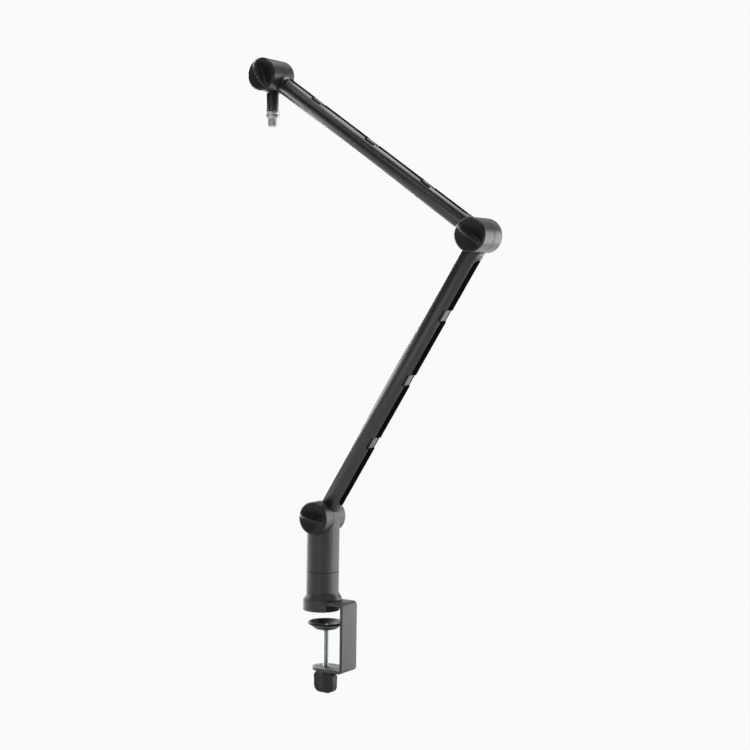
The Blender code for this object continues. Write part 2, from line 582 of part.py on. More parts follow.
def make_lower_arm(empty):
    base_front = halves(BASE_FRONT, BASE_SEAM)[0]
    elbow_rear = halves(ELBOW_FRONT, ELBOW_SEAM)[1]
    length, radius = LOWER_LENGTH, LOWER_RADIUS
    base_tool = front_half_tools("lower_arm_base", BASE_FRONT, BASE_SEAM, parent=empty)
    base_knuckle = make_knuckle("lower_arm_base_knuckle", empty, 0.0, 1, base_front,
                                (base_front[1], 0.05), radius, base_tool)
    elbow_tool = rear_half_tools("lower_arm_elbow", ELBOW_FRONT, ELBOW_SEAM, parent=empty, at=(0, 0, length))
    elbow_knuckle = make_knuckle("lower_arm_elbow_knuckle", empty, length, -1, elbow_rear,
                                 (-0.05, elbow_rear[0]), radius, elbow_tool)
    tube = make_tube("lower_arm_tube", empty, length, radius, LOWER_CHANNEL, LOWER_NOTCH,
                     LOWER_CHANNEL_ENDS, LOWER_CLIPS)
    make_clips("lower_arm", empty, radius, LOWER_CHANNEL, LOWER_CLIP_TOP, LOWER_CLIPS)
    make_tube_screws("lower_arm", empty, tube, radius,
                     (("base", TUBE_SCREW_PLACE, base_knuckle),
                      ("elbow", length - TUBE_SCREW_PLACE, elbow_knuckle)))


def make_upper_arm(empty):
    elbow_front = halves(ELBOW_FRONT, ELBOW_SEAM)[0]
    head_rear = halves(HEAD_FRONT, HEAD_SEAM)[1]
    length, radius = UPPER_LENGTH, UPPER_RADIUS
    elbow_tool = front_half_tools("upper_arm_elbow", ELBOW_FRONT, ELBOW_SEAM, parent=empty)
    elbow_knuckle = make_knuckle("upper_arm_elbow_knuckle", empty, 0.0, 1, elbow_front,
                                 (elbow_front[1], 0.05), radius, elbow_tool)
    head_tool = rear_half_tools("upper_arm_head", HEAD_FRONT, HEAD_SEAM, parent=empty, at=(0, 0, length))
    head_knuckle = make_knuckle("upper_arm_head_knuckle", empty, length, -1, head_rear,
                                (-0.05, head_rear[0]), radius, head_tool)
    tube = make_tube("upper_arm_tube", empty, length, radius, UPPER_CHANNEL, UPPER_NOTCH,
                     UPPER_CHANNEL_ENDS, UPPER_CLIPS)
    slot_end = [(SLOT_LENGTH / 2, SLOT_WIDTH / 2 - 0.0005), (SLOT_LENGTH / 2 - 0.0005, SLOT_WIDTH / 2)]
    quarters = [[(x, -y) for x, y in reversed(slot_end)], slot_end,
                [(-x, y) for x, y in reversed(slot_end)], [(-x, -y) for x, y in slot_end]]
    slot = extruded("head_end_slot", [[point for quarter in quarters for point in quarter]],
                    radius - 0.0050, radius + 0.0050, parent=empty)
    slot.matrix_local = (Matrix.Translation((0, TUBE_PLANE, length - SLOT_PLACE))
                         @ Matrix.Rotation(math.radians(SLOT_TURN), 4, "Z")
                         @ Matrix.Rotation(math.radians(90), 4, "X"))
    cut(tube, slot)
    cut(head_knuckle, slot)
    make_clips("upper_arm", empty, radius, UPPER_CHANNEL, UPPER_CLIP_TOP, UPPER_CLIPS)
    make_tube_screws("upper_arm", empty, tube, radius,
                     (("elbow", TUBE_SCREW_PLACE, elbow_knuckle),
                      ("head", length - TUBE_SCREW_PLACE, head_knuckle)))


# ---------------------------------------------------------------- head
def make_head(empty):
    """Front half of the head joint, the stem below it and the thread adapter.

    The empty's local Z runs down the stem.
    """
    front = halves(HEAD_FRONT, HEAD_SEAM)[0]
    knuckle = turned("head_knuckle", half_profile(front[0], front[1] + 0.0030), BLACK_METAL, empty,
                     axis="Y")
    spigot = cylinder("head_spigot", 0.0060, 0.0100, 0.0400, parent=empty, segments=32)
    join(knuckle, spigot)
    cut(knuckle, cylinder("head_space", OTHER_HALF_RELIEF, front[1], 0.05, axis="Y", parent=empty),
        front_half_tools("head", HEAD_FRONT, HEAD_SEAM, parent=empty))
    stem = [(0.0063, 0.0150), (0.0063, 0.0430), (STUD_RADIUS + GAP, 0.0430), (STUD_RADIUS + GAP, STEM_END),
            (STEM_RADIUS_END - 0.0005, STEM_END), (STEM_RADIUS_END, STEM_END - 0.0005),
            (STEM_RADIUS_TOP, 0.0150)]
    stem_obj = turned("mic_stem", stem, BLACK_METAL, empty, closed=True, segments=32)
    cut(stem_obj, cylinder("stem_relief", TUBE_RELIEF, -0.05, 0.05, axis="Y", parent=empty))
    cylinder("stem_stud", STUD_RADIUS, 0.0405, ADAPTER_END - 0.0012, material=STEEL, parent=empty,
             segments=SMALL_SEGMENTS)
    flange_start = STEM_END + GAP
    flange_end = flange_start + FLANGE_HEIGHT
    bore = STUD_RADIUS + GAP
    adapter = [(THREAD_RADIUS - 0.0006, ADAPTER_END), (THREAD_RADIUS, ADAPTER_END - 0.0006),
               (THREAD_RADIUS, flange_end), (FLANGE_RADIUS, flange_end), (FLANGE_RADIUS, flange_start),
               (bore, flange_start), (bore, ADAPTER_END)]
    adapter_obj = turned("thread_adapter", adapter, CHROME, empty, closed=True, segments=32)
    middle = flange_start + FLANGE_HEIGHT * 0.55
    for index in range(4):
        turn = math.radians(20 + 90 * index)
        pin_hole = cylinder(f"adapter_pin_hole_{index}", 0.0012, 0.0085, 0.0140, parent=empty, segments=12)
        pin_hole.matrix_local = (Matrix.Translation((0, 0, middle)) @ Matrix.Rotation(turn, 4, "Z")
                                 @ Matrix.Rotation(math.radians(90), 4, "Y"))
        cut(adapter_obj, pin_hole)


# ---------------------------------------------------------------- assembly
make_clamp_bracket()
make_collar()
make_swivel()
make_clamp_screw()

base_axis = add_empty("base_joint_axis", (0, 0, PIVOT_HEIGHT))
lower_axis = add_empty("lower_arm_axis", (0, 0, PIVOT_HEIGHT), 90 - LOWER_ANGLE)
upper_axis = add_empty("upper_arm_axis", (elbow_x, 0, elbow_z), 90 - UPPER_ANGLE)
head_axis = add_empty("head_axis", (head_x, 0, head_z), 180)
elbow_level = add_empty("elbow_joint_axis", (elbow_x, 0, elbow_z))
head_level = add_empty("head_joint_axis", (head_x, 0, head_z))

make_column(base_axis)
make_lower_arm(lower_axis)
make_upper_arm(upper_axis)
make_head(head_axis)
for joint, front, seam, grip, axis in (("base", BASE_FRONT, BASE_SEAM, BASE_GRIP, base_axis),
                                       ("elbow", ELBOW_FRONT, ELBOW_SEAM, ELBOW_GRIP, elbow_level),
                                       ("head", HEAD_FRONT, HEAD_SEAM, HEAD_GRIP, head_level)):
    make_joint_fittings(joint, front, seam, axis)
    make_knob(joint + "_knob", front, grip, axis)

bpy.context.view_layer.update()
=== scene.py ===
"""Looks of a desk-clamp boom arm for a microphone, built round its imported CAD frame.

Every piece is modelled here in metres in the frame's own space and rides on a CAD body. Each arm has a
local frame: Z runs along its tube from the lower joint, X points out of its cable channel, and Y is the
joints' axis, with the knobs on the -Y side.
"""
import json
import math

import bmesh
import bpy
from mathutils import Matrix, Vector


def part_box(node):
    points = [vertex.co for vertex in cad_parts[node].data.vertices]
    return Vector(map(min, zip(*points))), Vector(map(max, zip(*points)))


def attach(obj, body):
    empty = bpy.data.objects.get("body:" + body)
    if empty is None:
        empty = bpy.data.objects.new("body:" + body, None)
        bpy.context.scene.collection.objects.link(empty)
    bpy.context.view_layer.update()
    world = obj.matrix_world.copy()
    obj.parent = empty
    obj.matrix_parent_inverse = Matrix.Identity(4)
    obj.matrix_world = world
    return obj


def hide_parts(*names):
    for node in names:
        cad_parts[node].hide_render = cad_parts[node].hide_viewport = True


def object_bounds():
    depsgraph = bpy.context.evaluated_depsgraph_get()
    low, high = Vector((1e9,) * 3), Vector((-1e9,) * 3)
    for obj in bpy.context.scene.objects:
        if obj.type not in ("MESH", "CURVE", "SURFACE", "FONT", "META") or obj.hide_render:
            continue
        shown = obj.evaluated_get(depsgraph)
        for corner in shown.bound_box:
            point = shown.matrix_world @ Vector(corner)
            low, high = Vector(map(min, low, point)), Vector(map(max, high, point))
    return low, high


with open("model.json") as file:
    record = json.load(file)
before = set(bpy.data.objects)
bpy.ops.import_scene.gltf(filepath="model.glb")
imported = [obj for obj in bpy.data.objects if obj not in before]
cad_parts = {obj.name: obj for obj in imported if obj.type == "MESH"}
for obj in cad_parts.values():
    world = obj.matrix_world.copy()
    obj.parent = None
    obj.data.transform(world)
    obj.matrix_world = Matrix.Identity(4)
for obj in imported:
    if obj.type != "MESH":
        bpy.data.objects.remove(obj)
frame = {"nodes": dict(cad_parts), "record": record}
cad_low, cad_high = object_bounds()

# ---------------------------------------------------------------- places taken from the frame
joints = {joint["name"]: joint for joint in frame["record"]["behaviour"]["joints"]}
base_joint = Vector(joints["base_hinge"]["pos_m"])
elbow_joint = Vector(joints["elbow_hinge"]["pos_m"])
head_joint = Vector(joints["head_hinge"]["pos_m"])


def low(node):
    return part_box(node)[0]


def high(node):
    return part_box(node)[1]


def along_link(start, end):
    """Local frame of a link: Z towards its far end, Y kept."""
    direction = (end - start).normalized()
    turn = math.atan2(direction.x, direction.z)
    return Matrix.Translation(start) @ Matrix.Rotation(turn, 4, "Y")


LOWER_FRAME = along_link(base_joint, elbow_joint)
UPPER_FRAME = along_link(elbow_joint, head_joint)
HEAD_FRAME = Matrix.Translation(head_joint) @ Matrix.Rotation(math.pi, 4, "Y")
COLUMN_FRAME = Matrix.Translation(base_joint)
TO_Y = Matrix.Rotation(math.radians(-90), 4, "X")       # turns a lathe's axis from Z to +Y
lower_length = (elbow_joint - base_joint).length
upper_length = (head_joint - elbow_joint).length

# ---------------------------------------------------------------- dimensions of the finished pieces
GAP = 0.0003                      # clearance between pieces that touch
SEAM_GAP = 0.0004                 # visible parting line of a round joint or of the swivel
SEAM_CHAMFER = 0.0004
HALF_CLEARANCE = 0.0006           # between a link's neck or plug and its neighbour's half joint

# round friction joints: each has a front half, a rear half and a knob in front
JOINT_RADIUS = 0.0230
JOINT_LENGTH = 0.0516
REAR_ROUND = 0.0025
KNOB_DEPTH = 0.0110
KNOB_FLANGE = 0.0022
KNOB_CHAMFER = 0.0018
KNOB_BODY_RADIUS = 0.0198
FRONTS = {joint: high(joint + "_knob").y - KNOB_DEPTH for joint in ("base", "elbow", "head")}
SEAMS = {joint: (low(joint + "_friction_washer").y + high(joint + "_friction_washer").y) / 2
         for joint in ("base", "elbow", "head")}
DISH_RADIUS, DISH_DEPTH = 0.0200, 0.0034
GRIP_RADIUS, GRIP_SINK = 0.0225, 0.0091           # arc of a grip's crest, and its centre below the rim
GRIP_WAIST, GRIP_FLARE = 0.00095, 0.0014          # half thickness in the middle, and what the ends add
GRIP_REACH = 0.0205
GRIP_ANGLES = {"base": -12.5, "elbow": -37.0, "head": -64.0}
INSERT_BORE, INSERT_SINK = 0.0104, 0.0024         # room for a knob's brass insert
BUSHING_BORE = 0.0061
WASHER_BORE, WASHER_SINK = 0.0193, 0.0011
BOLT_BORE, BOLT_SINK = 0.0070, 0.0085
CAP_RADIUS, CAP_BORE, CAP_SINK = 0.0120, 0.0124, 0.0024

# column, collar and clamp
COLUMN_RADIUS = 0.0231
COLLAR_RADIUS = 0.0275
SWIVEL_HEIGHT = 0.0550            # parting line between the collar and the column
SPINDLE_BORE = 0.0063
STRIP_WIDTH = 0.0376
STRIP_THICKNESS = 0.0044
BEND_RADIUS = 0.0060
SCREW_X = 0.0068                  # clamp screw's axis
SCREW_BORE = 0.0043
PAD_RADIUS, PAD_DEPTH, PAD_BORE = 0.0260, 0.0100, 0.0029
PAD_SHEET = 0.0022                # thickness of the pad's floor
THUMB_WIDTH, THUMB_THICKNESS = 0.0345, 0.0105
THUMB_TURN = -5.0                 # how far the wing is turned from the XZ plane
FINGER_BALL = 0.060               # radius of the balls that hollow the wing's sides

# arms
TUBE_PLANE = 0.0020               # the tubes' centre lines, along Y
TUBE_WALL = 0.0016
TUBE_START = 0.0150               # where a tube's blank starts, from its joint's axis
TUBE_SCREW_PLACE = 0.0400         # screws that hold a plug, from its joint's axis
CHANNEL_WALL = 0.0015
CHANNEL_DEPTH = 0.0090
LEDGE_DEPTH = 0.0034
LEDGE_WIDTH = 0.0007
TUBE_RELIEF = 0.0240              # radius that a tube's end is cut to, round its joint
HALF_RELIEF = 0.0236              # radius that clears the half joint of the neighbouring link
PLUG_LENGTH = 0.0500              # reach of a plug, from its joint's axis
NOTCH_LENGTH = 0.0180
LOWER = {"radius": 0.0148, "channel": 0.0150, "notch": 0.0226, "clip_top": 0.0109, "clip_half": 0.0060,
         "length": lower_length, "span": (0.0300, lower_length - 0.0295), "clips": (0.1345, 0.2390, 0.3435)}
UPPER = {"radius": 0.0128, "channel": 0.0110, "notch": 0.0170, "clip_top": 0.0119, "clip_half": 0.0038,
         "length": upper_length, "span": (0.0315, upper_length - 0.0270), "clips": (0.1085, 0.2160, 0.3235)}
SLOT_PLACE, SLOT_LENGTH, SLOT_WIDTH, SLOT_TURN = 0.0290, 0.0110, 0.0030, 40.0    # cable slot near the head

# head
STEM_RADIUS_TOP, STEM_RADIUS_END, STEM_START = 0.0095, 0.0088, 0.0150
SPIGOT_RADIUS, SPIGOT_END = 0.0060, 0.0400
STUD_BORE = 0.0051
FLANGE_RADIUS, FLANGE_HEIGHT, FLANGE_GROOVE = 0.0108, 0.0098, 0.0005
BARREL_BORE = 0.0060

# threads: radius, pitch and depth
SCREW_THREAD = (0.0040, 0.00125, 0.00045)         # M8
ADAPTER_THREAD = (0.00794, 0.00094, 0.00040)      # 5/8 inch, 27 to the inch

WASTE = 0.06                      # reach of a cutter beyond what it cuts
FINEST, FINE, COARSE = 128, 96, 48                # segments of a round surface


# ---------------------------------------------------------------- mesh helpers
def arc(centre, radius, start, end, steps):
    """Points on an arc, angles in degrees."""
    angles = [math.radians(start + (end - start) * i / steps) for i in range(steps + 1)]
    return [(centre[0] + radius * math.cos(a), centre[1] + radius * math.sin(a)) for a in angles]


def rounded(corners, steps=4, closed=True):
    """Outline with filleted corners. A corner is (x, y) or (x, y, radius)."""
    count = len(corners)
    outline = []
    for index, corner in enumerate(corners):
        spot = Vector(corner[:2])
        radius = corner[2] if len(corner) > 2 else 0.0
        if radius == 0.0 or (not closed and index in (0, count - 1)):
            outline.append(tuple(spot))
            continue
        before = (Vector(corners[index - 1][:2]) - spot).normalized()
        after = (Vector(corners[(index + 1) % count][:2]) - spot).normalized()
        half_angle = before.angle(after) / 2
        reach = radius / math.tan(half_angle)
        centre = spot + (before + after).normalized() * (radius / math.sin(half_angle))
        first = spot + before * reach - centre
        last = spot + after * reach - centre
        sweep = first.angle_signed(last)
        for step in range(steps + 1):
            outline.append(tuple(centre + Matrix.Rotation(-sweep * step / steps, 2) @ first))
    return outline


def new_object(name, shape, place=Matrix.Identity(4)):
    """Turn a bmesh into an object whose vertices are already in the frame's space."""
    bmesh.ops.remove_doubles(shape, verts=shape.verts, dist=1e-6)
    bmesh.ops.recalc_face_normals(shape, faces=shape.faces)
    bmesh.ops.transform(shape, matrix=place, verts=shape.verts)
    mesh = bpy.data.meshes.new(name)
    shape.to_mesh(mesh)
    shape.free()
    obj = bpy.data.objects.new(name, mesh)
    bpy.context.scene.collection.objects.link(obj)
    return obj


def lathe(name, profile, place=Matrix.Identity(4), segments=FINE, closed=False, spin=0.0):
    """Turn (radius, height) points about Z. An open profile starts and ends on the axis."""
    shape = bmesh.new()
    rings = []
    for radius, height in profile:
        if radius < 1e-9:
            rings.append([shape.verts.new((0.0, 0.0, height))])
            continue
        angles = [math.tau * i / segments + spin for i in range(segments)]
        rings.append([shape.verts.new((radius * math.cos(a), radius * math.sin(a), height)) for a in angles])
    pairs = list(zip(rings, rings[1:]))
    if closed:
        pairs.append((rings[-1], rings[0]))
    for first, second in pairs:
        if len(first) == 1 and len(second) == 1:
            continue
        for i in range(segments):
            j = (i + 1) % segments
            corners = [first[0]] if len(first) == 1 else [first[i], first[j]]
            corners += [second[0]] if len(second) == 1 else [second[j], second[i]]
            shape.faces.new(corners)
    return new_object(name, shape, place)


def prism(name, outlines, bottom, top, place=Matrix.Identity(4)):
    """Flat outlines (outside first, then holes) extruded along local Z."""
    curve = bpy.data.curves.new(name, "CURVE")
    curve.dimensions = "2D"
    curve.fill_mode = "BOTH"
    curve.extrude = (top - bottom) / 2
    for outline in outlines:
        spline = curve.splines.new("POLY")
        spline.points.add(len(outline) - 1)
        spline.use_cyclic_u = True
        for point, (x, y) in zip(spline.points, outline):
            point.co = (x, y, 0.0, 1.0)
    guide = bpy.data.objects.new(name + "_outline", curve)
    bpy.context.scene.collection.objects.link(guide)
    bpy.context.view_layer.update()
    mesh = bpy.data.meshes.new_from_object(guide.evaluated_get(bpy.context.evaluated_depsgraph_get()))
    bpy.data.objects.remove(guide)
    bpy.data.curves.remove(curve)
    shape = bmesh.new()
    shape.from_mesh(mesh)
    bpy.data.meshes.remove(mesh)
    bmesh.ops.translate(shape, vec=(0, 0, (bottom + top) / 2), verts=shape.verts)
    return new_object(name, shape, place)


def loft(name, loops, place=Matrix.Identity(4)):
    """Closed solid through loops of equally many points."""
    shape = bmesh.new()
    rings = [[shape.verts.new(point) for point in loop] for loop in loops]
    for one, two in zip(rings, rings[1:]):
        for i in range(len(one)):
            j = (i + 1) % len(one)
            shape.faces.new((one[i], one[j], two[j], two[i]))
    shape.faces.new(rings[0])
    shape.faces.new(rings[-1])
    return new_object(name, shape, place)


def rod(name, radius, bottom, top, place=Matrix.Identity(4), segments=FINE, spin=0.013):
    return lathe(name, [(0, top), (radius, top), (radius, bottom), (0, bottom)], place, segments, spin=spin)


def settle(obj):
    """Apply an object's modifiers to its mesh."""
    bpy.context.view_layer.update()
    mesh = bpy.data.meshes.new_from_object(obj.evaluated_get(bpy.context.evaluated_depsgraph_get()))
    old = obj.data
    obj.modifiers.clear()
    obj.data = mesh
    mesh.name = obj.name
    bpy.data.meshes.remove(old)


def combine(target, operation, *tools):
    """Boolean the tools into the target one by one, then throw them away."""
    for tool in tools:
        modifier = target.modifiers.new(tool.name, "BOOLEAN")
        modifier.operation = operation
        modifier.solver = "EXACT"
        modifier.object = tool
    settle(target)
    for tool in tools:
        bpy.data.objects.remove(tool)


def cut(target, *tools):
    combine(target, "DIFFERENCE", *tools)


def join(target, *tools):
    combine(target, "UNION", *tools)


def soften(obj, width, segments=2, angle=32.0):
    """Round the sharp edges of a piece."""
    shape = bmesh.new()
    shape.from_mesh(obj.data)
    bmesh.ops.remove_doubles(shape, verts=shape.verts, dist=0.00003)
    bmesh.ops.dissolve_degenerate(shape, edges=shape.edges, dist=0.00003)
    bmesh.ops.dissolve_limit(shape, angle_limit=math.radians(0.3), verts=shape.verts, edges=shape.edges)
    shape.to_mesh(obj.data)
    shape.free()
    bevel = obj.modifiers.new("soft_edges", "BEVEL")
    bevel.width = width
    bevel.segments = segments
    bevel.limit_method = "ANGLE"
    bevel.angle_limit = math.radians(angle)
    bevel.use_clamp_overlap = True
    settle(obj)


def finish_piece(obj, body, material, slot, *replaced, smooth=30.0):
    """Shade a piece, give it its material and hang it on its body."""
    shape = bmesh.new()
    shape.from_mesh(obj.data)
    bmesh.ops.recalc_face_normals(shape, faces=shape.faces)
    shape.to_mesh(obj.data)
    shape.free()
    obj.data.materials.clear()
    obj.data.materials.append(material)
    obj.data.shade_smooth()
    obj.data.set_sharp_from_angle(angle=math.radians(smooth))
    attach(obj, body)
    if replaced:
        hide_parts(*replaced)
    return obj


# ---------------------------------------------------------------- materials
class Nodes:
    """Small helper that adds and links the nodes of one material."""

    def __init__(self, name):
        self.material = bpy.data.materials.new(name)
        self.material.use_nodes = True
        self.tree = self.material.node_tree
        self.shader = self.tree.nodes["Principled BSDF"]

    def add(self, kind, inputs=None, **settings):
        node = self.tree.nodes.new(kind)
        for key, value in settings.items():
            setattr(node, key, value)
        for key, value in (inputs or {}).items():
            if isinstance(value, bpy.types.NodeSocket):
                self.tree.links.new(value, node.inputs[key])
            else:
                node.inputs[key].default_value = value
        return node

    def place(self):
        return self.add("ShaderNodeTexCoord").outputs["Object"]

    def noise(self, vector, scale, detail=3.0, roughness=0.55):
        inputs = {"Vector": vector, "Scale": scale, "Detail": detail, "Roughness": roughness}
        return self.add("ShaderNodeTexNoise", inputs).outputs["Fac"]

    def grains(self, vector, scale, smoothness=1.0):
        inputs = {"Vector": vector, "Scale": scale, "Smoothness": smoothness}
        return self.add("ShaderNodeTexVoronoi", inputs, feature="SMOOTH_F1").outputs["Distance"]

    def stretch(self, vector, scale):
        return self.add("ShaderNodeMapping", {"Vector": vector, "Scale": scale}).outputs["Vector"]

    def ramp(self, value, low_in, high_in, low_out, high_out):
        inputs = {"Value": value, "From Min": low_in, "From Max": high_in, "To Min": low_out,
                  "To Max": high_out}
        return self.add("ShaderNodeMapRange", inputs).outputs["Result"]

    def blend(self, factor, first, second):
        node = self.add("ShaderNodeMix", data_type="RGBA")
        self.tree.links.new(factor, node.inputs["Factor"])
        for key, value in ((6, first), (7, second)):
            if isinstance(value, bpy.types.NodeSocket):
                self.tree.links.new(value, node.inputs[key])
            else:
                node.inputs[key].default_value = (*value, 1.0)
        return node.outputs[2]

    def sum(self, first, second, share):
        inputs = {0: second, 1: share, 2: first}
        return self.add("ShaderNodeMath", inputs, operation="MULTIPLY_ADD").outputs[0]

    def bump(self, height, distance, strength=1.0):
        node = self.add("ShaderNodeBump", {"Height": height, "Distance": distance, "Strength": strength})
        return node.outputs["Normal"]

    def finish(self, colour, roughness, normal, metallic=0.0, specular=0.5):
        for key, value in (("Base Color", colour), ("Roughness", roughness), ("Normal", normal)):
            if isinstance(value, bpy.types.NodeSocket):
                self.tree.links.new(value, self.shader.inputs[key])
            elif key == "Base Color":
                self.shader.inputs[key].default_value = (*value, 1.0)
            elif value is not None:
                self.shader.inputs[key].default_value = value
        self.shader.inputs["Metallic"].default_value = metallic
        self.shader.inputs["Specular IOR Level"].default_value = specular
        return self.material


def powder_coat(name, dark, light, roughness, grain=0.00045, specular=0.5):
    """Fine textured powder coat: tiny rounded grains, faint cloudiness and slightly glossier crests."""
    nodes = Nodes(name)
    place = nodes.place()
    grains = nodes.grains(place, 1 / grain)
    cloud = nodes.noise(place, 60.0, 4.0)
    speck = nodes.noise(place, 1 / (grain * 2.5), 2.0)
    colour = nodes.blend(nodes.sum(cloud, speck, 0.4), dark, light)
    gloss = nodes.ramp(nodes.sum(cloud, grains, 0.5), 0.2, 1.1, roughness - 0.06, roughness + 0.07)
    height = nodes.sum(grains, speck, 0.6)
    return nodes.finish(colour, gloss, nodes.bump(height, 0.00003, 0.55), specular=specular)


def moulded_plastic(name, dark, light, roughness, grain=0.0003, specular=0.45):
    """Moulded plastic with a fine spark-eroded grain and a faint satin variation."""
    nodes = Nodes(name)
    place = nodes.place()
    fine = nodes.noise(place, 1 / grain, 2.0, 0.6)
    broad = nodes.noise(place, 120.0, 3.0)
    colour = nodes.blend(nodes.sum(broad, fine, 0.25), dark, light)
    gloss = nodes.ramp(nodes.sum(broad, fine, 0.5), 0.3, 1.1, roughness - 0.05, roughness + 0.08)
    return nodes.finish(colour, gloss, nodes.bump(fine, 0.00002, 0.5), specular=specular)


def soft_rubber(name):
    nodes = Nodes(name)
    place = nodes.place()
    fine = nodes.noise(place, 2500.0, 3.0, 0.65)
    dust = nodes.noise(place, 90.0, 5.0)
    colour = nodes.blend(dust, (0.012, 0.012, 0.012), (0.030, 0.029, 0.028))
    gloss = nodes.ramp(dust, 0.3, 0.7, 0.78, 0.92)
    return nodes.finish(colour, gloss, nodes.bump(fine, 0.00004, 0.6), specular=0.3)


def turned_metal(name, dark, light, roughness, streaks=(900.0, 900.0, 60.0), scratches=0.00001):
    """Plated or turned metal with fine streaks across its length and patchy tone."""
    nodes = Nodes(name)
    place = nodes.place()
    streak = nodes.noise(nodes.stretch(place, streaks), 1.0, 3.0, 0.6)
    patch = nodes.noise(place, 150.0, 4.0)
    colour = nodes.blend(nodes.sum(patch, streak, 0.5), dark, light)
    gloss = nodes.ramp(nodes.sum(streak, patch, 0.6), 0.4, 1.2, roughness - 0.05, roughness + 0.12)
    return nodes.finish(colour, gloss, nodes.bump(streak, scratches, 0.5), metallic=1.0)


def pressed_fibre(name):
    nodes = Nodes(name)
    place = nodes.place()
    strands = nodes.noise(nodes.stretch(place, (400.0, 2500.0, 400.0)), 1.0, 4.0, 0.7)
    flecks = nodes.grains(place, 1800.0)
    colour = nodes.blend(nodes.sum(strands, flecks, 0.4), (0.10, 0.055, 0.03), (0.30, 0.19, 0.10))
    return nodes.finish(colour, nodes.ramp(flecks, 0.0, 1.0, 0.72, 0.9), nodes.bump(strands, 0.00005, 0.7))


COAT = powder_coat("black_powder_coat", (0.009, 0.009, 0.0095), (0.018, 0.018, 0.0188), 0.42)
TUBE_COAT = powder_coat("black_tube_coat", (0.008, 0.008, 0.0085), (0.016, 0.016, 0.0165), 0.30,
                        grain=0.00035)
# painted shade: a near-black, duller coat for the recessed faces of the tubes' channels and clip pockets,
# where shade falls
CHANNEL_SHADE_COAT = powder_coat("black_channel_painted_shade", (0.003, 0.003, 0.003), (0.006, 0.006, 0.006), 0.62, specular=0.12)
GREY_COAT = powder_coat("dark_grey_powder_coat", (0.021, 0.021, 0.022), (0.037, 0.037, 0.038), 0.46)
KNOB_PLASTIC = moulded_plastic("black_knob_plastic", (0.005, 0.005, 0.005), (0.012, 0.012, 0.012), 0.42,
                               specular=0.26)
CLIP_PLASTIC = moulded_plastic("grey_clip_plastic", (0.055, 0.055, 0.056), (0.080, 0.080, 0.081), 0.48)
RUBBER = soft_rubber("black_rubber")
ZINC = turned_metal("zinc_plating", (0.34, 0.44, 0.47), (0.50, 0.58, 0.60), 0.34)
CHROME = turned_metal("chrome", (0.36, 0.37, 0.36), (0.52, 0.53, 0.52), 0.33, scratches=0.000004)
STEEL = turned_metal("bright_steel", (0.44, 0.44, 0.45), (0.60, 0.60, 0.61), 0.32)
BRASS = turned_metal("brass", (0.55, 0.38, 0.14), (0.72, 0.54, 0.24), 0.30)
FIBRE = pressed_fibre("friction_fibre")
ACETAL = moulded_plastic("natural_acetal", (0.66, 0.65, 0.61), (0.78, 0.77, 0.73), 0.42)


# ---------------------------------------------------------------- clamp and base
def make_bracket():
    """Bent steel strip with round ends and lightly rounded edges."""
    back, top, bottom = high("clamp_bracket").x, high("clamp_bracket").z, low("clamp_bracket").z
    thick, bend = STRIP_THICKNESS, BEND_RADIUS
    inner = bend - thick + 0.0006                 # a bent strip's inside radius
    outline = rounded([(0.0, top), (back, top, bend), (back, bottom, bend), (SCREW_X, bottom),
                       (SCREW_X, bottom + thick), (back - thick, bottom + thick, inner),
                       (back - thick, top - thick, inner), (0.0, top - thick)], steps=8)
    half = STRIP_WIDTH / 2
    sideways = Matrix.Rotation(math.radians(90), 4, "X")
    bracket = prism("bent_strip", [outline], -half, half, sideways)
    screw_place = Matrix.Translation((SCREW_X, 0, 0))
    join(bracket, rod("top_end", half, top - thick, top),
         rod("bottom_end", half, bottom, bottom + thick, screw_place))
    cut(bracket, rod("spindle_hole", SPINDLE_BORE, 0.0, 0.03),
        rod("screw_hole", SCREW_BORE, bottom - 0.01, bottom + 0.01, screw_place))
    soften(bracket, 0.0006, 3)
    finish_piece(bracket, "base", GREY_COAT, "dark_grey_powder_coat", "clamp_bracket")


def make_collar():
    """Skirt, flare and neck of the fixed base cover."""
    top, plate = SWIVEL_HEIGHT, high("clamp_bracket").z
    inside, skirt, flare = 0.0247, 0.0155, 0.0265
    web, web_top, roof, seat = plate + GAP, plate + GAP + 0.0044, 0.0480, 0.0532
    curve = [(COLLAR_RADIUS - (COLLAR_RADIUS - COLUMN_RADIUS) * (1 - math.cos(math.pi * t)) / 2,
              skirt + (flare - skirt) * t) for t in [i / 12 for i in range(12, -1, -1)]]
    profile = [(COLUMN_RADIUS - SEAM_CHAMFER, top), (COLUMN_RADIUS, top - SEAM_CHAMFER)] + curve
    profile += [(COLLAR_RADIUS, 0.0012), (COLLAR_RADIUS - 0.0003, 0.0006), (COLLAR_RADIUS - 0.0008, 0.0004)]
    profile += [(inside, 0.0004), (inside, web), (SPINDLE_BORE, web), (SPINDLE_BORE, web_top),
                (0.0190, web_top), (0.0190, roof), (0.0073, roof), (0.0073, seat), (0.0194, seat),
                (0.0194, top)]
    collar = lathe("collar_shell", profile, closed=True, segments=FINEST)
    half = STRIP_WIDTH / 2 + GAP
    slot = prism("plate_slot", [rounded([(-half, -0.010), (half, -0.010), (half, plate + 0.0009, 0.0008),
                                         (-half, plate + 0.0009, 0.0008)])], 0.012, 0.040,
                 Matrix(((0, 0, 1, 0), (1, 0, 0, 0), (0, 1, 0, 0), (0, 0, 0, 1))))
    cut(collar, slot)
    soften(collar, 0.0004, 2, 50.0)
    finish_piece(collar, "base", COAT, "black_powder_coat", "base_collar")


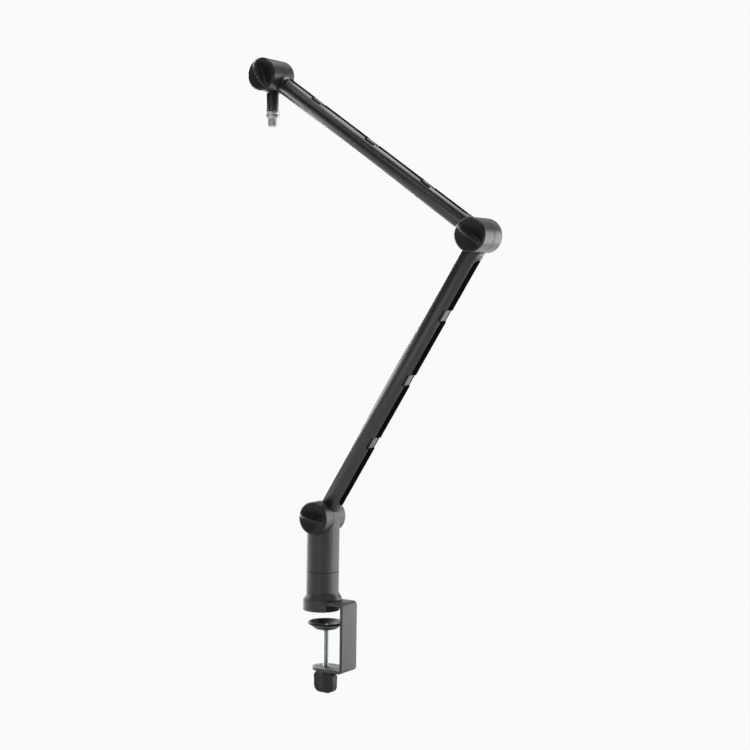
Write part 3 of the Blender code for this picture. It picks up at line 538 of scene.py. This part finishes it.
def make_desk_pad():
    """Rubber pad with two ring grooves in its foot."""
    top, radius = high("desk_pad").z, high("desk_pad").x
    groove = 0.0008
    corners = [(0, top), (radius, top), (radius, 0.0, 0.0008)]
    for middle in (0.0204, 0.0154):
        corners += [(middle + groove, 0.0), (middle + groove / 2, groove, 0.0002),
                    (middle - groove / 2, groove, 0.0002), (middle - groove, 0.0)]
    profile = rounded(corners + [(0, 0.0)], steps=3, closed=False)
    pad = lathe("ringed_desk_pad", profile, segments=COARSE)
    cut(pad, rod("nut_room", 0.0112, 0.0030, 0.03, segments=COARSE))
    finish_piece(pad, "base", RUBBER, "black_rubber", "desk_pad")


def make_pressure_pad():
    """Dished pad with a rolled rim and the swaged tip of the screw in its centre."""
    rim, floor = high("pressure_pad").z, high("pressure_pad").z - PAD_DEPTH
    corners = [(0.0246, rim, 0.0010), (PAD_RADIUS, rim - 0.0007, 0.0008), (PAD_RADIUS, rim - 0.0026, 0.0012),
               (0.0205, rim - 0.0056, 0.0040), (0.0150, floor, 0.0030), (PAD_BORE, floor),
               (PAD_BORE, floor + PAD_SHEET), (0.0118, floor + PAD_SHEET, 0.0040),
               (0.0185, rim - 0.0034, 0.0040), (0.0228, rim, 0.0012)]
    place = Matrix.Translation((SCREW_X, 0, 0))
    pad = lathe("dished_pad", rounded(corners, steps=5), place, segments=FINE, closed=True)
    finish_piece(pad, "pressure_pad", KNOB_PLASTIC, "black_plastic", "pressure_pad")
    ring_low, ring_high = low("pad_retainer").z, high("pad_retainer").z
    ring = lathe("swaged_ring", rounded([(PAD_BORE, ring_high), (0.0046, ring_high, 0.0010),
                                         (0.0055, ring_low, 0.0004), (PAD_BORE, ring_low)], steps=5), place,
                 segments=COARSE, closed=True)
    finish_piece(ring, "pressure_pad", STEEL, "bright_steel", "pad_retainer")


def thread(name, size, bottom, top, place, lead_in, segments):
    """Threaded rod: a surface whose radius follows the thread all the way along, tapered at its ends."""
    radius, pitch, depth = size
    rows_per_turn = 8
    rows = int((top - bottom) / pitch * rows_per_turn) + 1
    shape = bmesh.new()
    rings = []
    for row in range(rows + 1):
        height = bottom + (top - bottom) * row / rows
        ring = []
        for i in range(segments):
            turn = (height / pitch - i / segments) % 1.0
            profile = min(1.0, max(0.0, abs(turn - 0.5) * 3.2 - 0.3))
            fade = min(1.0, (height - bottom) / lead_in, (top - height) / lead_in)
            edge = radius - depth + depth * profile * max(0.0, fade)
            angle = math.tau * i / segments
            ring.append(shape.verts.new((edge * math.cos(angle), edge * math.sin(angle), height)))
        rings.append(ring)
    for first, second in zip(rings, rings[1:]):
        for i in range(segments):
            j = (i + 1) % segments
            shape.faces.new((first[i], first[j], second[j], second[i]))
    shape.faces.new(reversed(rings[0]))
    shape.faces.new(rings[-1])
    return new_object(name, shape, place)


def make_clamp_screw():
    """M8 rod with a rolled thread and a plain neck under the pad, and a winged thumb knob."""
    place = Matrix.Translation((SCREW_X, 0, 0))
    floor, neck = low("pressure_pad").z, PAD_BORE - GAP
    bottom, top = low("clamp_screw").z, high("clamp_screw").z
    rod_piece = thread("threaded_rod", SCREW_THREAD, bottom, floor - GAP, place, 0.0012, 32)
    join(rod_piece, lathe("neck", rounded([(0, top), (neck, top, 0.0005), (neck, floor - 0.0010),
                                           (0, floor - 0.0010)], steps=3, closed=False), place, 24))
    finish_piece(rod_piece, "clamp_screw", ZINC, "zinc_plated_steel", "clamp_screw", smooth=40.0)

    wing_top = low("clamp_bracket").z - 0.0030
    half, tall = THUMB_WIDTH / 2, wing_top - low("thumb_knob").z
    outline = rounded([(-half, 0.0, 0.0085), (half, 0.0, 0.0085), (half, -tall, 0.0105),
                       (-half, -tall, 0.0105)], steps=10)
    turn = Matrix.Translation((SCREW_X, 0, wing_top)) @ Matrix.Rotation(math.radians(THUMB_TURN), 4, "Z")
    flat = turn @ Matrix.Rotation(math.radians(90), 4, "X")
    wing = prism("thumb_wing", [outline], -THUMB_THICKNESS / 2, THUMB_THICKNESS / 2, flat)
    hub = lathe("hub", rounded([(0, 0.0018), (0.0078, 0.0018, 0.0010), (0.0078, -0.0180, 0.0030),
                                (0, -0.0180)], steps=5, closed=False), turn, COARSE)
    join(wing, hub)
    for side in (-1, 1):
        ball = lathe("finger_dish", [(FINGER_BALL * math.sin(math.radians(a)),
                                      FINGER_BALL * math.cos(math.radians(a))) for a in range(0, 181, 4)],
                     segments=COARSE)
        for reach in (-1, 1):
            copy = ball.copy()
            copy.data = ball.data.copy()
            bpy.context.scene.collection.objects.link(copy)
            copy.matrix_world = turn @ Matrix.Translation((reach * 0.0125, side * (FINGER_BALL + 0.0042),
                                                           -0.0165))
            cut(wing, copy)
        bpy.data.objects.remove(ball)
    cut(wing, rod("socket", SCREW_BORE, -0.0206, 0.01, turn, COARSE))
    soften(wing, 0.0012, 4, 28.0)
    finish_piece(wing, "clamp_screw", KNOB_PLASTIC, "black_plastic", "thumb_knob", smooth=40.0)


# ---------------------------------------------------------------- joint halves
def front_reach(joint):
    return FRONTS[joint] + KNOB_FLANGE + SEAM_GAP, SEAMS[joint] - SEAM_GAP / 2


def rear_reach(joint):
    return SEAMS[joint] + SEAM_GAP / 2, FRONTS[joint] + JOINT_LENGTH


def half_drum(name, reach, is_rear, place):
    """One half of a round joint, its parting edge chamfered and its outer end chamfered or rounded."""
    near, far = reach
    radius, chamfer = JOINT_RADIUS, SEAM_CHAMFER
    if is_rear:
        corners = [(0, far), (radius, far, REAR_ROUND), (radius, near + chamfer), (radius - chamfer, near),
                   (0, near)]
    else:
        corners = [(0, far), (radius - chamfer, far), (radius, far - chamfer), (radius, near + chamfer),
                   (radius - chamfer, near), (0, near)]
    return lathe(name, rounded(corners, steps=6, closed=False), place @ TO_Y)


def bores(joint, is_rear, place):
    """Inner recesses of a half joint."""
    seam = SEAMS[joint]
    low_end = FRONTS[joint] + KNOB_DEPTH + SEAM_GAP
    rear, over = FRONTS[joint] + JOINT_LENGTH, 0.01
    if is_rear:
        profile = [(0.0, rear + over), (CAP_BORE, rear + over), (CAP_BORE, rear - CAP_SINK),
                   (BOLT_BORE, rear - CAP_SINK), (BOLT_BORE, rear - BOLT_SINK),
                   (BUSHING_BORE, rear - BOLT_SINK), (BUSHING_BORE, seam + WASHER_SINK),
                   (WASHER_BORE, seam + WASHER_SINK), (WASHER_BORE, seam - over), (0.0, seam - over)]
    else:
        profile = [(0.0, seam + over), (WASHER_BORE, seam + over), (WASHER_BORE, seam - WASHER_SINK),
                   (BUSHING_BORE, seam - WASHER_SINK), (BUSHING_BORE, low_end + INSERT_SINK),
                   (INSERT_BORE, low_end + INSERT_SINK), (INSERT_BORE, low_end),
                   (KNOB_BODY_RADIUS + GAP, low_end), (KNOB_BODY_RADIUS + GAP, FRONTS[joint] - over),
                   (0.0, FRONTS[joint] - over)]
    return lathe("bores", profile, place @ TO_Y, COARSE, spin=0.021)


def tube_hollow(arm):
    """Inside of a tube, with room for the walls and floor of its cable channel."""
    inside = arm["radius"] - TUBE_WALL
    wall = arm["channel"] / 2 + CHANNEL_WALL
    flat = arm["radius"] - CHANNEL_DEPTH - CHANNEL_WALL
    start = math.degrees(math.asin(wall / inside))
    return arc((0, 0), inside, start, 360 - start, 48) + [(flat, -wall), (flat, wall)]


def make_knuckle(name, arm, joint, is_rear, at_end, place, body, node, slot_tool=None):
    """Half joint with the neck that meets its tube and the plug that the tube slides over."""
    centre = place @ Matrix.Translation((0, 0, arm["length"] if at_end else 0.0))
    away = -1 if at_end else 1
    own = rear_reach(joint) if is_rear else front_reach(joint)
    other = front_reach(joint) if is_rear else rear_reach(joint)
    beyond = (-WASTE, other[1] + HALF_CLEARANCE) if is_rear else (other[0] - HALF_CLEARANCE, WASTE)
    knuckle = half_drum(name, own, is_rear, centre)
    plane = Matrix.Translation((0, TUBE_PLANE, 0))
    radius = arm["radius"]
    ends = sorted((away * 0.0120, away * 0.0260))
    neck = rod("neck", radius, *ends, centre @ plane, FINE)
    inset = (own[0] + HALF_CLEARANCE, own[1]) if is_rear else (own[0], own[1] - HALF_CLEARANCE)
    combine(neck, "INTERSECT", rod("neck_reach", TUBE_RELIEF - GAP, *inset, centre @ TO_Y, FINEST, 0.007))
    flat = radius - CHANNEL_DEPTH - CHANNEL_WALL - GAP
    inner = radius - TUBE_WALL - GAP
    start = math.degrees(math.acos(flat / inner))
    ends = sorted((away * 0.0100, away * PLUG_LENGTH))
    plug = prism("plug", [arc((0, 0), inner, start, 360 - start, 48)], *ends, centre @ plane)
    cut(plug, rod("other_half", HALF_RELIEF, *beyond, centre @ TO_Y, FINEST, 0.011))
    join(knuckle, neck, plug)
    cut(knuckle, bores(joint, is_rear, centre))
    if slot_tool:
        cut(knuckle, slot_tool)
    finish_piece(knuckle, body, COAT, "black_powder_coat", node)


def make_column():
    """Swivelling column; its head is the rear half of the base joint."""
    bottom, room, roof, grub = (height - base_joint.z
                                for height in (SWIVEL_HEIGHT + SEAM_GAP, 0.0700, 0.1000, 0.0920))
    profile = [(0.0, -0.0010), (COLUMN_RADIUS, -0.0010), (COLUMN_RADIUS, bottom + SEAM_CHAMFER),
               (COLUMN_RADIUS - SEAM_CHAMFER, bottom), (0.0190, bottom), (0.0190, room), (0.0093, room),
               (0.0093, roof), (0.0, roof)]
    column = lathe("column_casting", profile, COLUMN_FRAME, FINEST)
    drum = half_drum("rear_half", rear_reach("base"), True, COLUMN_FRAME)
    cut(column, rod("front_room", HALF_RELIEF, -WASTE, rear_reach("base")[0] + HALF_CLEARANCE,
                    COLUMN_FRAME @ TO_Y, FINEST))
    join(column, drum)
    sideways = COLUMN_FRAME @ Matrix.Translation((0, 0, grub)) @ TO_Y
    cut(column, bores("base", True, COLUMN_FRAME), rod("grub_hole", 0.0033, 0.0050, 0.03, sideways, COARSE))
    finish_piece(column, "column", COAT, "black_powder_coat", "column")


# ---------------------------------------------------------------- tubes and clips
def across_channel(outline, bottom, top, place):
    """Prism whose outline is drawn along the channel (along, sideways) and whose depth is local X."""
    stand = Matrix(((0, 0, 1, 0), (0, 1, 0, 0), (-1, 0, 0, 0), (0, 0, 0, 1)))
    return prism("channel_tool", [[(-along, side) for along, side in outline]], bottom, top,
                 place @ Matrix.Translation((0, TUBE_PLANE, 0)) @ stand)


def slot_outline(first, last, half):
    """Outline with round ends, from one place along the channel to another."""
    return arc((last - half, 0.0), half, 90, -90, 12) + arc((first + half, 0.0), half, -90, -270, 12)


def make_slot_tool(arm, place):
    """Cutter for the short cable slot near the head."""
    turn = (place @ Matrix.Translation((0, TUBE_PLANE, arm["length"] - SLOT_PLACE))
            @ Matrix.Rotation(math.radians(SLOT_TURN), 4, "Z") @ Matrix.Rotation(math.radians(90), 4, "X"))
    half, width = SLOT_LENGTH / 2, SLOT_WIDTH / 2
    outline = rounded([(x, z, 0.0009) for x, z in ((half, -width), (half, width), (-half, width),
                                                   (-half, -width))])
    return prism("head_slot", [outline], arm["radius"] - 0.0050, arm["radius"] + 0.0050, turn)


def make_tube(name, arm, place, body, node, screws, slot_tool=None):
    """Extruded tube with a ledged cable channel, a pocket at each clip and coped ends."""
    radius, length = arm["radius"], arm["length"]
    half = arm["channel"] / 2
    plane = place @ Matrix.Translation((0, TUBE_PLANE, 0))
    round_outline = arc((0, 0), radius, 0, 360 - 360 / FINEST, FINEST - 1)
    tube = prism(name, [round_outline, tube_hollow(arm)], TUBE_START, length - TUBE_START, plane)
    for along in (0.0, length):
        centre = place @ Matrix.Translation((0, 0, along)) @ TO_Y
        cut(tube, rod("relief", TUBE_RELIEF, -0.05, 0.05, centre, FINEST))
    first, last = arm["span"]
    floor = radius - CHANNEL_DEPTH
    ledge = floor + LEDGE_DEPTH
    cut(tube, across_channel(slot_outline(first, last, half), ledge, radius + 0.005, place))
    inset = LEDGE_WIDTH
    cut(tube, across_channel(slot_outline(first + inset, last - inset, half - inset), floor,
                             ledge + 0.002, place))
    for along in arm["clips"]:
        reach, side = NOTCH_LENGTH / 2, arm["notch"] / 2
        corners = [(along + x, y, 0.0012) for x, y in ((-reach, -side), (reach, -side), (reach, side),
                                                       (-reach, side))]
        cut(tube, across_channel(rounded(corners), floor + 0.0002, radius + 0.01, place))
    for along in screws:
        centre = plane @ Matrix.Translation((0, 0, along)) @ TO_Y
        head, shank, seat = 0.0033, 0.0018, radius - 0.0006
        sink = [(0, radius + 0.002), (head, radius + 0.002), (head, seat),
                (shank, seat - head + shank), (shank, radius - 0.0080), (0, radius - 0.0080)]
        cut(tube, lathe("screw_sink", sink, centre, 32, spin=0.02))
    if slot_tool:
        cut(tube, slot_tool)
    soften(tube, 0.0004, 2, 35.0)
    finish_piece(tube, body, TUBE_COAT, "black_powder_coat", node)
    # paint shade into the channel's recesses with the darker coat
    paint_channel_shade(tube, plane, radius, ledge)


def paint_channel_shade(tube, plane, radius, ledge):
    """Give the recessed faces of a tube a darker, duller coat: painted shade in the channel and the clip
    pockets; the ledge keeps the full coat.
    """
    tube.data.materials.append(CHANNEL_SHADE_COAT)
    to_tube = plane.inverted()
    turn = to_tube.to_3x3()
    for face in tube.data.polygons:
        centre, facing = to_tube @ face.center, turn @ face.normal
        on_ledge = abs(centre.x - ledge) < 0.0003 and facing.x > 0.7
        is_recessed = centre.xy.length < radius - 0.0006
        if is_recessed and not on_ledge:
            face.material_index = 1


def make_clips(prefix, arm, place, body):
    """Snap-in cable bridges with rounded crowns, arched beneath."""
    half = arm["clip_half"]
    floor = arm["radius"] - CHANNEL_DEPTH + 2 * GAP
    top, leg, plate = arm["clip_top"], 0.0012, 0.0013
    foot = half - 0.0008
    inner, crown = foot - leg, top - leg
    rise = min(inner, crown - floor - 0.0004)
    outline = rounded([(floor, -foot), (top - plate, -foot, 0.0002), (top - plate, -half, 0.0003),
                       (top, -half, 0.0009), (top, half, 0.0009), (top - plate, half, 0.0003),
                       (top - plate, foot, 0.0002), (floor, foot)], steps=5)
    arch = [(crown - rise + rise * math.cos(math.radians(a)), inner * math.sin(math.radians(a)))
            for a in [90 - 7.5 * i for i in range(25)]]
    outline += [(floor, inner)] + arch + [(floor, -inner)]
    reach = NOTCH_LENGTH / 2 - 0.0006
    for index, along in enumerate(arm["clips"], start=1):
        clip = prism(f"{prefix}_cable_bridge_{index}", [outline], -reach, reach,
                     place @ Matrix.Translation((0, TUBE_PLANE, along)))
        soften(clip, 0.0005, 3, 40.0)
        finish_piece(clip, body, CLIP_PLASTIC, "grey_plastic", f"{prefix}_clip_{index}")


def make_tube_screws(prefix, arm, place, body, ends):
    """Countersunk screws with a hexagon socket."""
    top = arm["radius"] - 0.0004
    for end, along in ends:
        centre = place @ Matrix.Translation((0, TUBE_PLANE, along)) @ TO_Y
        head, shank, edge, tip = 0.0030, 0.0015, top - 0.0003, top - 0.0072
        profile = rounded([(0, top), (head, top, 0.0002), (head, edge), (shank, edge - head + shank),
                           (shank, tip), (0, tip)], steps=3, closed=False)
        screw = lathe(f"{prefix}_{end}_socket_screw", profile, centre, 32)
        cut(screw, prism("hex_socket", [arc((0, 0), 0.0012, 0, 300, 5)], top - 0.0012, top + 0.001, centre))
        finish_piece(screw, body, STEEL, "bright_steel", f"{prefix}_{end}_screw")


# ---------------------------------------------------------------- knobs and caps
def dish_height(across):
    """Height of a knob's dished face above its back, at a distance from the axis."""
    ball = (DISH_RADIUS ** 2 + DISH_DEPTH ** 2) / (2 * DISH_DEPTH)
    return KNOB_DEPTH - DISH_DEPTH + ball - math.sqrt(ball ** 2 - min(across, DISH_RADIUS) ** 2)


def grip_section(along):
    """Outline of the grip at one place along it: filleted root, slight draft, rounded crest."""
    floor = dish_height(abs(along))
    height = max(0.0002, KNOB_DEPTH - GRIP_SINK + math.sqrt(GRIP_RADIUS ** 2 - along ** 2) - floor)
    half = GRIP_WAIST + GRIP_FLARE * (along / GRIP_RADIUS) ** 2
    root = min(0.0026, 0.45 * height)
    crest = min(0.9 * half, 0.45 * height)
    side = [(half + root, -0.0006)]
    for step in range(7):
        turn = math.radians(90 * step / 6)
        side.append((half + root - root * math.sin(turn), root - root * math.cos(turn)))
    for step in range(6):
        turn = math.radians(90 * step / 5)
        side.append((0.94 * half - crest + crest * math.cos(turn), height - crest + crest * math.sin(turn)))
    mirrored = [(-x, z) for x, z in reversed(side)]
    return [(along, x, floor + z) for x, z in side + mirrored]


def make_knob(joint, centre):
    """Knob with a shallow dish and a half-moon grip that stands proud of it, thinnest in the middle."""
    depth, radius = KNOB_DEPTH, JOINT_RADIUS
    place = (Matrix.Translation(centre) @ Matrix.Translation((0, FRONTS[joint] + depth, 0))
             @ Matrix.Rotation(math.radians(90), 4, "X"))
    dish = [(DISH_RADIUS * t / 12, dish_height(DISH_RADIUS * t / 12)) for t in range(12)]
    outer = rounded([(DISH_RADIUS, depth, 0.0003), (radius - KNOB_CHAMFER, depth, 0.0005),
                     (radius, depth - KNOB_CHAMFER, 0.0004), (radius, depth - KNOB_FLANGE, 0.0001),
                     (KNOB_BODY_RADIUS, depth - KNOB_FLANGE), (KNOB_BODY_RADIUS, 0.0, 0.0004),
                     (0.0082, 0.0), (0.0082, 0.0044), (0.0, 0.0044)], steps=4, closed=False)
    knob = lathe(joint + "_dished_knob", dish + outer, place, FINEST)
    sections = [grip_section(GRIP_REACH * math.sin(math.radians(90 * t / 20))) for t in range(-20, 21)]
    grip = loft("grip", sections, place @ Matrix.Rotation(math.radians(GRIP_ANGLES[joint]), 4, "Z"))
    join(knob, grip)
    finish_piece(knob, joint + "_knob", KNOB_PLASTIC, "black_plastic", joint + "_knob")


def make_rear_cap(joint, centre, body):
    """Round cover cap with a raised rim."""
    rear = FRONTS[joint] + JOINT_LENGTH
    face, back = rear - 0.0006, rear - 0.0020
    profile = rounded([(0, face), (0.0098, face, 0.0004), (0.0104, rear, 0.0003), (CAP_RADIUS, rear, 0.0006),
                       (CAP_RADIUS, back), (0, back)], closed=False)
    cap = lathe(joint + "_cover_cap", profile, Matrix.Translation(centre) @ TO_Y, FINE)
    finish_piece(cap, body, KNOB_PLASTIC, "black_plastic", joint + "_rear_cap")


# ---------------------------------------------------------------- head
def make_head():
    """Front half of the head joint, the stem and the thread adapter."""
    own, other = front_reach("head"), rear_reach("head")
    knuckle = half_drum("head_casting", own, False, HEAD_FRAME)
    spigot = rod("spigot", SPIGOT_RADIUS, 0.0100, SPIGOT_END, HEAD_FRAME, COARSE)
    cut(spigot, rod("other_half", HALF_RELIEF, other[0] - HALF_CLEARANCE, WASTE, HEAD_FRAME @ TO_Y, FINEST))
    join(knuckle, spigot)
    cut(knuckle, bores("head", False, HEAD_FRAME))
    finish_piece(knuckle, "head", COAT, "black_powder_coat", "head_knuckle")

    end = head_joint.z - low("mic_stem").z
    bore, shoulder = SPIGOT_RADIUS + GAP, SPIGOT_END + 0.0030
    stem = lathe("stem_sleeve", rounded([(STEM_RADIUS_TOP, STEM_START), (STEM_RADIUS_END, end, 0.0006),
                                         (STUD_BORE, end), (STUD_BORE, shoulder), (bore, shoulder),
                                         (bore, STEM_START)]), HEAD_FRAME, FINE, closed=True)
    cut(stem, rod("relief", TUBE_RELIEF, -0.05, 0.05, HEAD_FRAME @ TO_Y, FINEST))
    soften(stem, 0.0003, 2, 40.0)
    finish_piece(stem, "head", TUBE_COAT, "black_powder_coat", "mic_stem")

    start, finish = end + GAP, head_joint.z - low("thread_adapter").z
    radius, groove, shoulder = FLANGE_RADIUS, FLANGE_RADIUS - FLANGE_GROOVE, start + FLANGE_HEIGHT
    profile = rounded([(STUD_BORE, start), (radius, start, 0.0006), (radius, start + 0.0028, 0.0003),
                       (groove, start + 0.0032, 0.0003), (groove, start + 0.0040, 0.0003),
                       (radius, start + 0.0044, 0.0003), (radius, shoulder, 0.0006), (0.0072, shoulder),
                       (0.0072, finish - 0.0004), (STUD_BORE, finish - 0.0004)])
    adapter = lathe("flanged_adapter", profile, HEAD_FRAME, FINE, closed=True)
    barrel = thread("barrel", ADAPTER_THREAD, shoulder - 0.0005, finish, HEAD_FRAME, 0.0006, COARSE)
    cut(barrel, rod("bore", BARREL_BORE, 0.0, 0.1, HEAD_FRAME, COARSE))
    join(adapter, barrel)
    for index in range(4):
        turn = (HEAD_FRAME @ Matrix.Translation((0, 0, start + FLANGE_HEIGHT * 0.68))
                @ Matrix.Rotation(math.radians(20 + 90 * index), 4, "Z")
                @ Matrix.Rotation(math.radians(90), 4, "Y"))
        cut(adapter, rod("pin_hole", 0.0011, 0.0085, 0.0140, turn, 24))
    finish_piece(adapter, "head", CHROME, "chrome", "thread_adapter", smooth=35.0)


def dress_hidden_nodes():
    """Give every CAD node that is kept a finished material of its own class."""
    looks = {"bright_steel": STEEL, "brass": BRASS, "friction_fibre": FIBRE, "natural_acetal": ACETAL,
             "black_powder_coat": COAT, "dark_grey_powder_coat": GREY_COAT, "black_plastic": KNOB_PLASTIC,
             "grey_plastic": CLIP_PLASTIC, "black_rubber": RUBBER, "zinc_plated_steel": ZINC,
             "chrome": CHROME}
    slots = {part["node"]: part["material_slot"] for part in frame["record"]["subparts"]}
    for name, node in frame["nodes"].items():
        for slot in node.material_slots:
            slot.material = looks[slots[name]]


# ---------------------------------------------------------------- stage, light and camera
PALE = (0.955, 0.955, 0.955, 1.0)                 # floor and backdrop, as the camera sees them
FLOOR_DROP, FLOOR_RADIUS = 0.45, 14.0
STUDIO_X, STUDIO_RADIUS = 0.1, 1.5                # middle and reach of the ring of softboxes
STUDIO_AIM = 1.05                                 # highest point that a softbox looks at
OVERHEAD_HEIGHT = 1.95
RING_POWER, OVERHEAD_POWER = 3.6, 6.4             # watts at strength 1
CAMERA_LENS = 76.8
CAMERA_PLACE = (1.2502, -1.8621, 0.4382)
CAMERA_AZIMUTH, CAMERA_PITCH, CAMERA_ROLL = 32.088, -2.70, 0.764


def make_floor():
    """Wide pale floor well below the clamp, as under a desk."""
    shape = bmesh.new()
    bmesh.ops.create_circle(shape, cap_ends=True, segments=FINE, radius=FLOOR_RADIUS)
    floor = new_object("floor", shape, Matrix.Translation((0.0, 0.0, cad_low.z - FLOOR_DROP)))
    nodes = Nodes("pale_floor")
    place = nodes.place()
    tone = nodes.blend(nodes.noise(place, 1.5, 3.0), (0.90, 0.90, 0.90), (0.93, 0.93, 0.93))
    nodes.finish(tone, 0.9, None, specular=0.1)
    glow = nodes.add("ShaderNodeEmission", {"Color": PALE, "Strength": 1.0})
    mix = nodes.add("ShaderNodeMixShader", {"Fac": 0.997, 1: nodes.shader.outputs[0], 2: glow.outputs[0]})
    nodes.tree.links.new(mix.outputs[0], nodes.tree.nodes["Material Output"].inputs["Surface"])
    floor.data.materials.append(nodes.material)


def add_softbox(name, place, target, width, height, power):
    light = bpy.data.lights.new(name, "AREA")
    light.shape = "RECTANGLE"
    light.size, light.size_y = width, height
    light.energy = power
    obj = bpy.data.objects.new(name, light)
    bpy.context.scene.collection.objects.link(obj)
    obj.location = place
    obj.rotation_euler = (Vector(target) - Vector(place)).to_track_quat("-Z", "Y").to_euler()
    obj.visible_camera = False


# softboxes in a ring: turn about the object in degrees from +Y towards +X, height, strength
RING = ((0, -0.30, 0.63), (0, 1.05, 0.54), (30, -0.30, 0.19), (30, 0.15, 1.52), (30, 0.60, 1.73),
        (60, -0.30, 2.58), (90, -0.30, 0.90), (90, 1.05, 0.19), (150, 0.60, 0.21), (180, 0.15, 0.45),
        (180, 0.60, 0.37), (180, 1.50, 0.85), (210, 0.15, 0.11), (240, -0.30, 0.28), (240, 0.60, 0.49),
        (270, -0.30, 0.56), (270, 0.15, 0.12), (270, 0.60, 1.90), (270, 1.05, 0.50), (300, -0.30, 0.69),
        (300, 0.15, 2.49), (300, 1.05, 5.12), (300, 1.50, 3.86), (330, 0.15, 0.52))
# softboxes overhead: place along X and Y, strength
OVERHEAD = ((-0.7, -0.8, 0.51), (0.1, 0.0, 1.80), (0.1, 0.8, 1.71), (0.9, 0.0, 1.69))


def make_light():
    """Pale surroundings for the eye, and large softboxes all round and overhead."""
    world = bpy.data.worlds.new("studio")
    bpy.context.scene.world = world
    world.use_nodes = True
    tree = world.node_tree
    fill = tree.nodes["Background"]
    fill.inputs["Color"].default_value = (1.0, 1.0, 1.0, 1.0)
    fill.inputs["Strength"].default_value = 0.02
    seen = tree.nodes.new("ShaderNodeBackground")
    seen.inputs["Color"].default_value = PALE
    path = tree.nodes.new("ShaderNodeLightPath")
    mix = tree.nodes.new("ShaderNodeMixShader")
    tree.links.new(path.outputs["Is Camera Ray"], mix.inputs["Fac"])
    tree.links.new(fill.outputs[0], mix.inputs[1])
    tree.links.new(seen.outputs[0], mix.inputs[2])
    tree.links.new(mix.outputs[0], tree.nodes["World Output"].inputs["Surface"])
    for index, (turn, height, strength) in enumerate(RING):
        place = (STUDIO_X + STUDIO_RADIUS * math.sin(math.radians(turn)),
                 STUDIO_RADIUS * math.cos(math.radians(turn)), height)
        target = (STUDIO_X, 0.0, min(height, STUDIO_AIM))
        add_softbox(f"ring_softbox_{index}", place, target, 0.80, 0.45, RING_POWER * strength)
    for index, (x, y, strength) in enumerate(OVERHEAD):
        place, target = (x, y, OVERHEAD_HEIGHT), ((x + STUDIO_X) / 2, y / 2, 0.5)
        add_softbox(f"overhead_softbox_{index}", place, target, 0.80, 0.80, OVERHEAD_POWER * strength)


def make_camera():
    """Long lens at the photographed viewing angle."""
    camera = bpy.data.cameras.new("camera")
    camera.sensor_width = 36.0
    camera.lens = CAMERA_LENS
    camera.clip_start, camera.clip_end = 0.05, 50.0
    obj = bpy.data.objects.new("camera", camera)
    bpy.context.scene.collection.objects.link(obj)
    azimuth, pitch, roll = (math.radians(a) for a in (CAMERA_AZIMUTH, CAMERA_PITCH, CAMERA_ROLL))
    forward = Vector((-math.sin(azimuth) * math.cos(pitch), math.cos(azimuth) * math.cos(pitch),
                      math.sin(pitch)))
    rotation = forward.to_track_quat("-Z", "Y").to_matrix().to_4x4() @ Matrix.Rotation(roll, 4, "Z")
    obj.matrix_world = Matrix.Translation(CAMERA_PLACE) @ rotation
    bpy.context.scene.camera = obj


# ---------------------------------------------------------------- assembly
dress_hidden_nodes()
make_bracket()
make_collar()
make_desk_pad()
make_pressure_pad()
make_clamp_screw()
make_column()
make_knuckle("lower_base_casting", LOWER, "base", False, False, LOWER_FRAME, "lower_arm",
             "lower_arm_base_knuckle")
make_knuckle("lower_elbow_casting", LOWER, "elbow", True, True, LOWER_FRAME, "lower_arm",
             "lower_arm_elbow_knuckle")
make_knuckle("upper_elbow_casting", UPPER, "elbow", False, False, UPPER_FRAME, "upper_arm",
             "upper_arm_elbow_knuckle")
make_knuckle("upper_head_casting", UPPER, "head", True, True, UPPER_FRAME, "upper_arm",
             "upper_arm_head_knuckle", make_slot_tool(UPPER, UPPER_FRAME))
make_tube("lower_channel_tube", LOWER, LOWER_FRAME, "lower_arm", "lower_arm_tube",
          (TUBE_SCREW_PLACE, lower_length - TUBE_SCREW_PLACE))
make_tube("upper_channel_tube", UPPER, UPPER_FRAME, "upper_arm", "upper_arm_tube",
          (TUBE_SCREW_PLACE, upper_length - TUBE_SCREW_PLACE), make_slot_tool(UPPER, UPPER_FRAME))
make_clips("lower_arm", LOWER, LOWER_FRAME, "lower_arm")
make_clips("upper_arm", UPPER, UPPER_FRAME, "upper_arm")
make_tube_screws("lower_arm", LOWER, LOWER_FRAME, "lower_arm",
                 (("base", TUBE_SCREW_PLACE), ("elbow", lower_length - TUBE_SCREW_PLACE)))
make_tube_screws("upper_arm", UPPER, UPPER_FRAME, "upper_arm",
                 (("elbow", TUBE_SCREW_PLACE), ("head", upper_length - TUBE_SCREW_PLACE)))
for joint, centre, body in (("base", base_joint, "column"), ("elbow", elbow_joint, "lower_arm"),
                            ("head", head_joint, "upper_arm")):
    make_knob(joint, centre)
    make_rear_cap(joint, centre, body)
make_head()
make_floor()
make_light()
make_camera()
bpy.context.scene.view_settings.view_transform = "Standard"
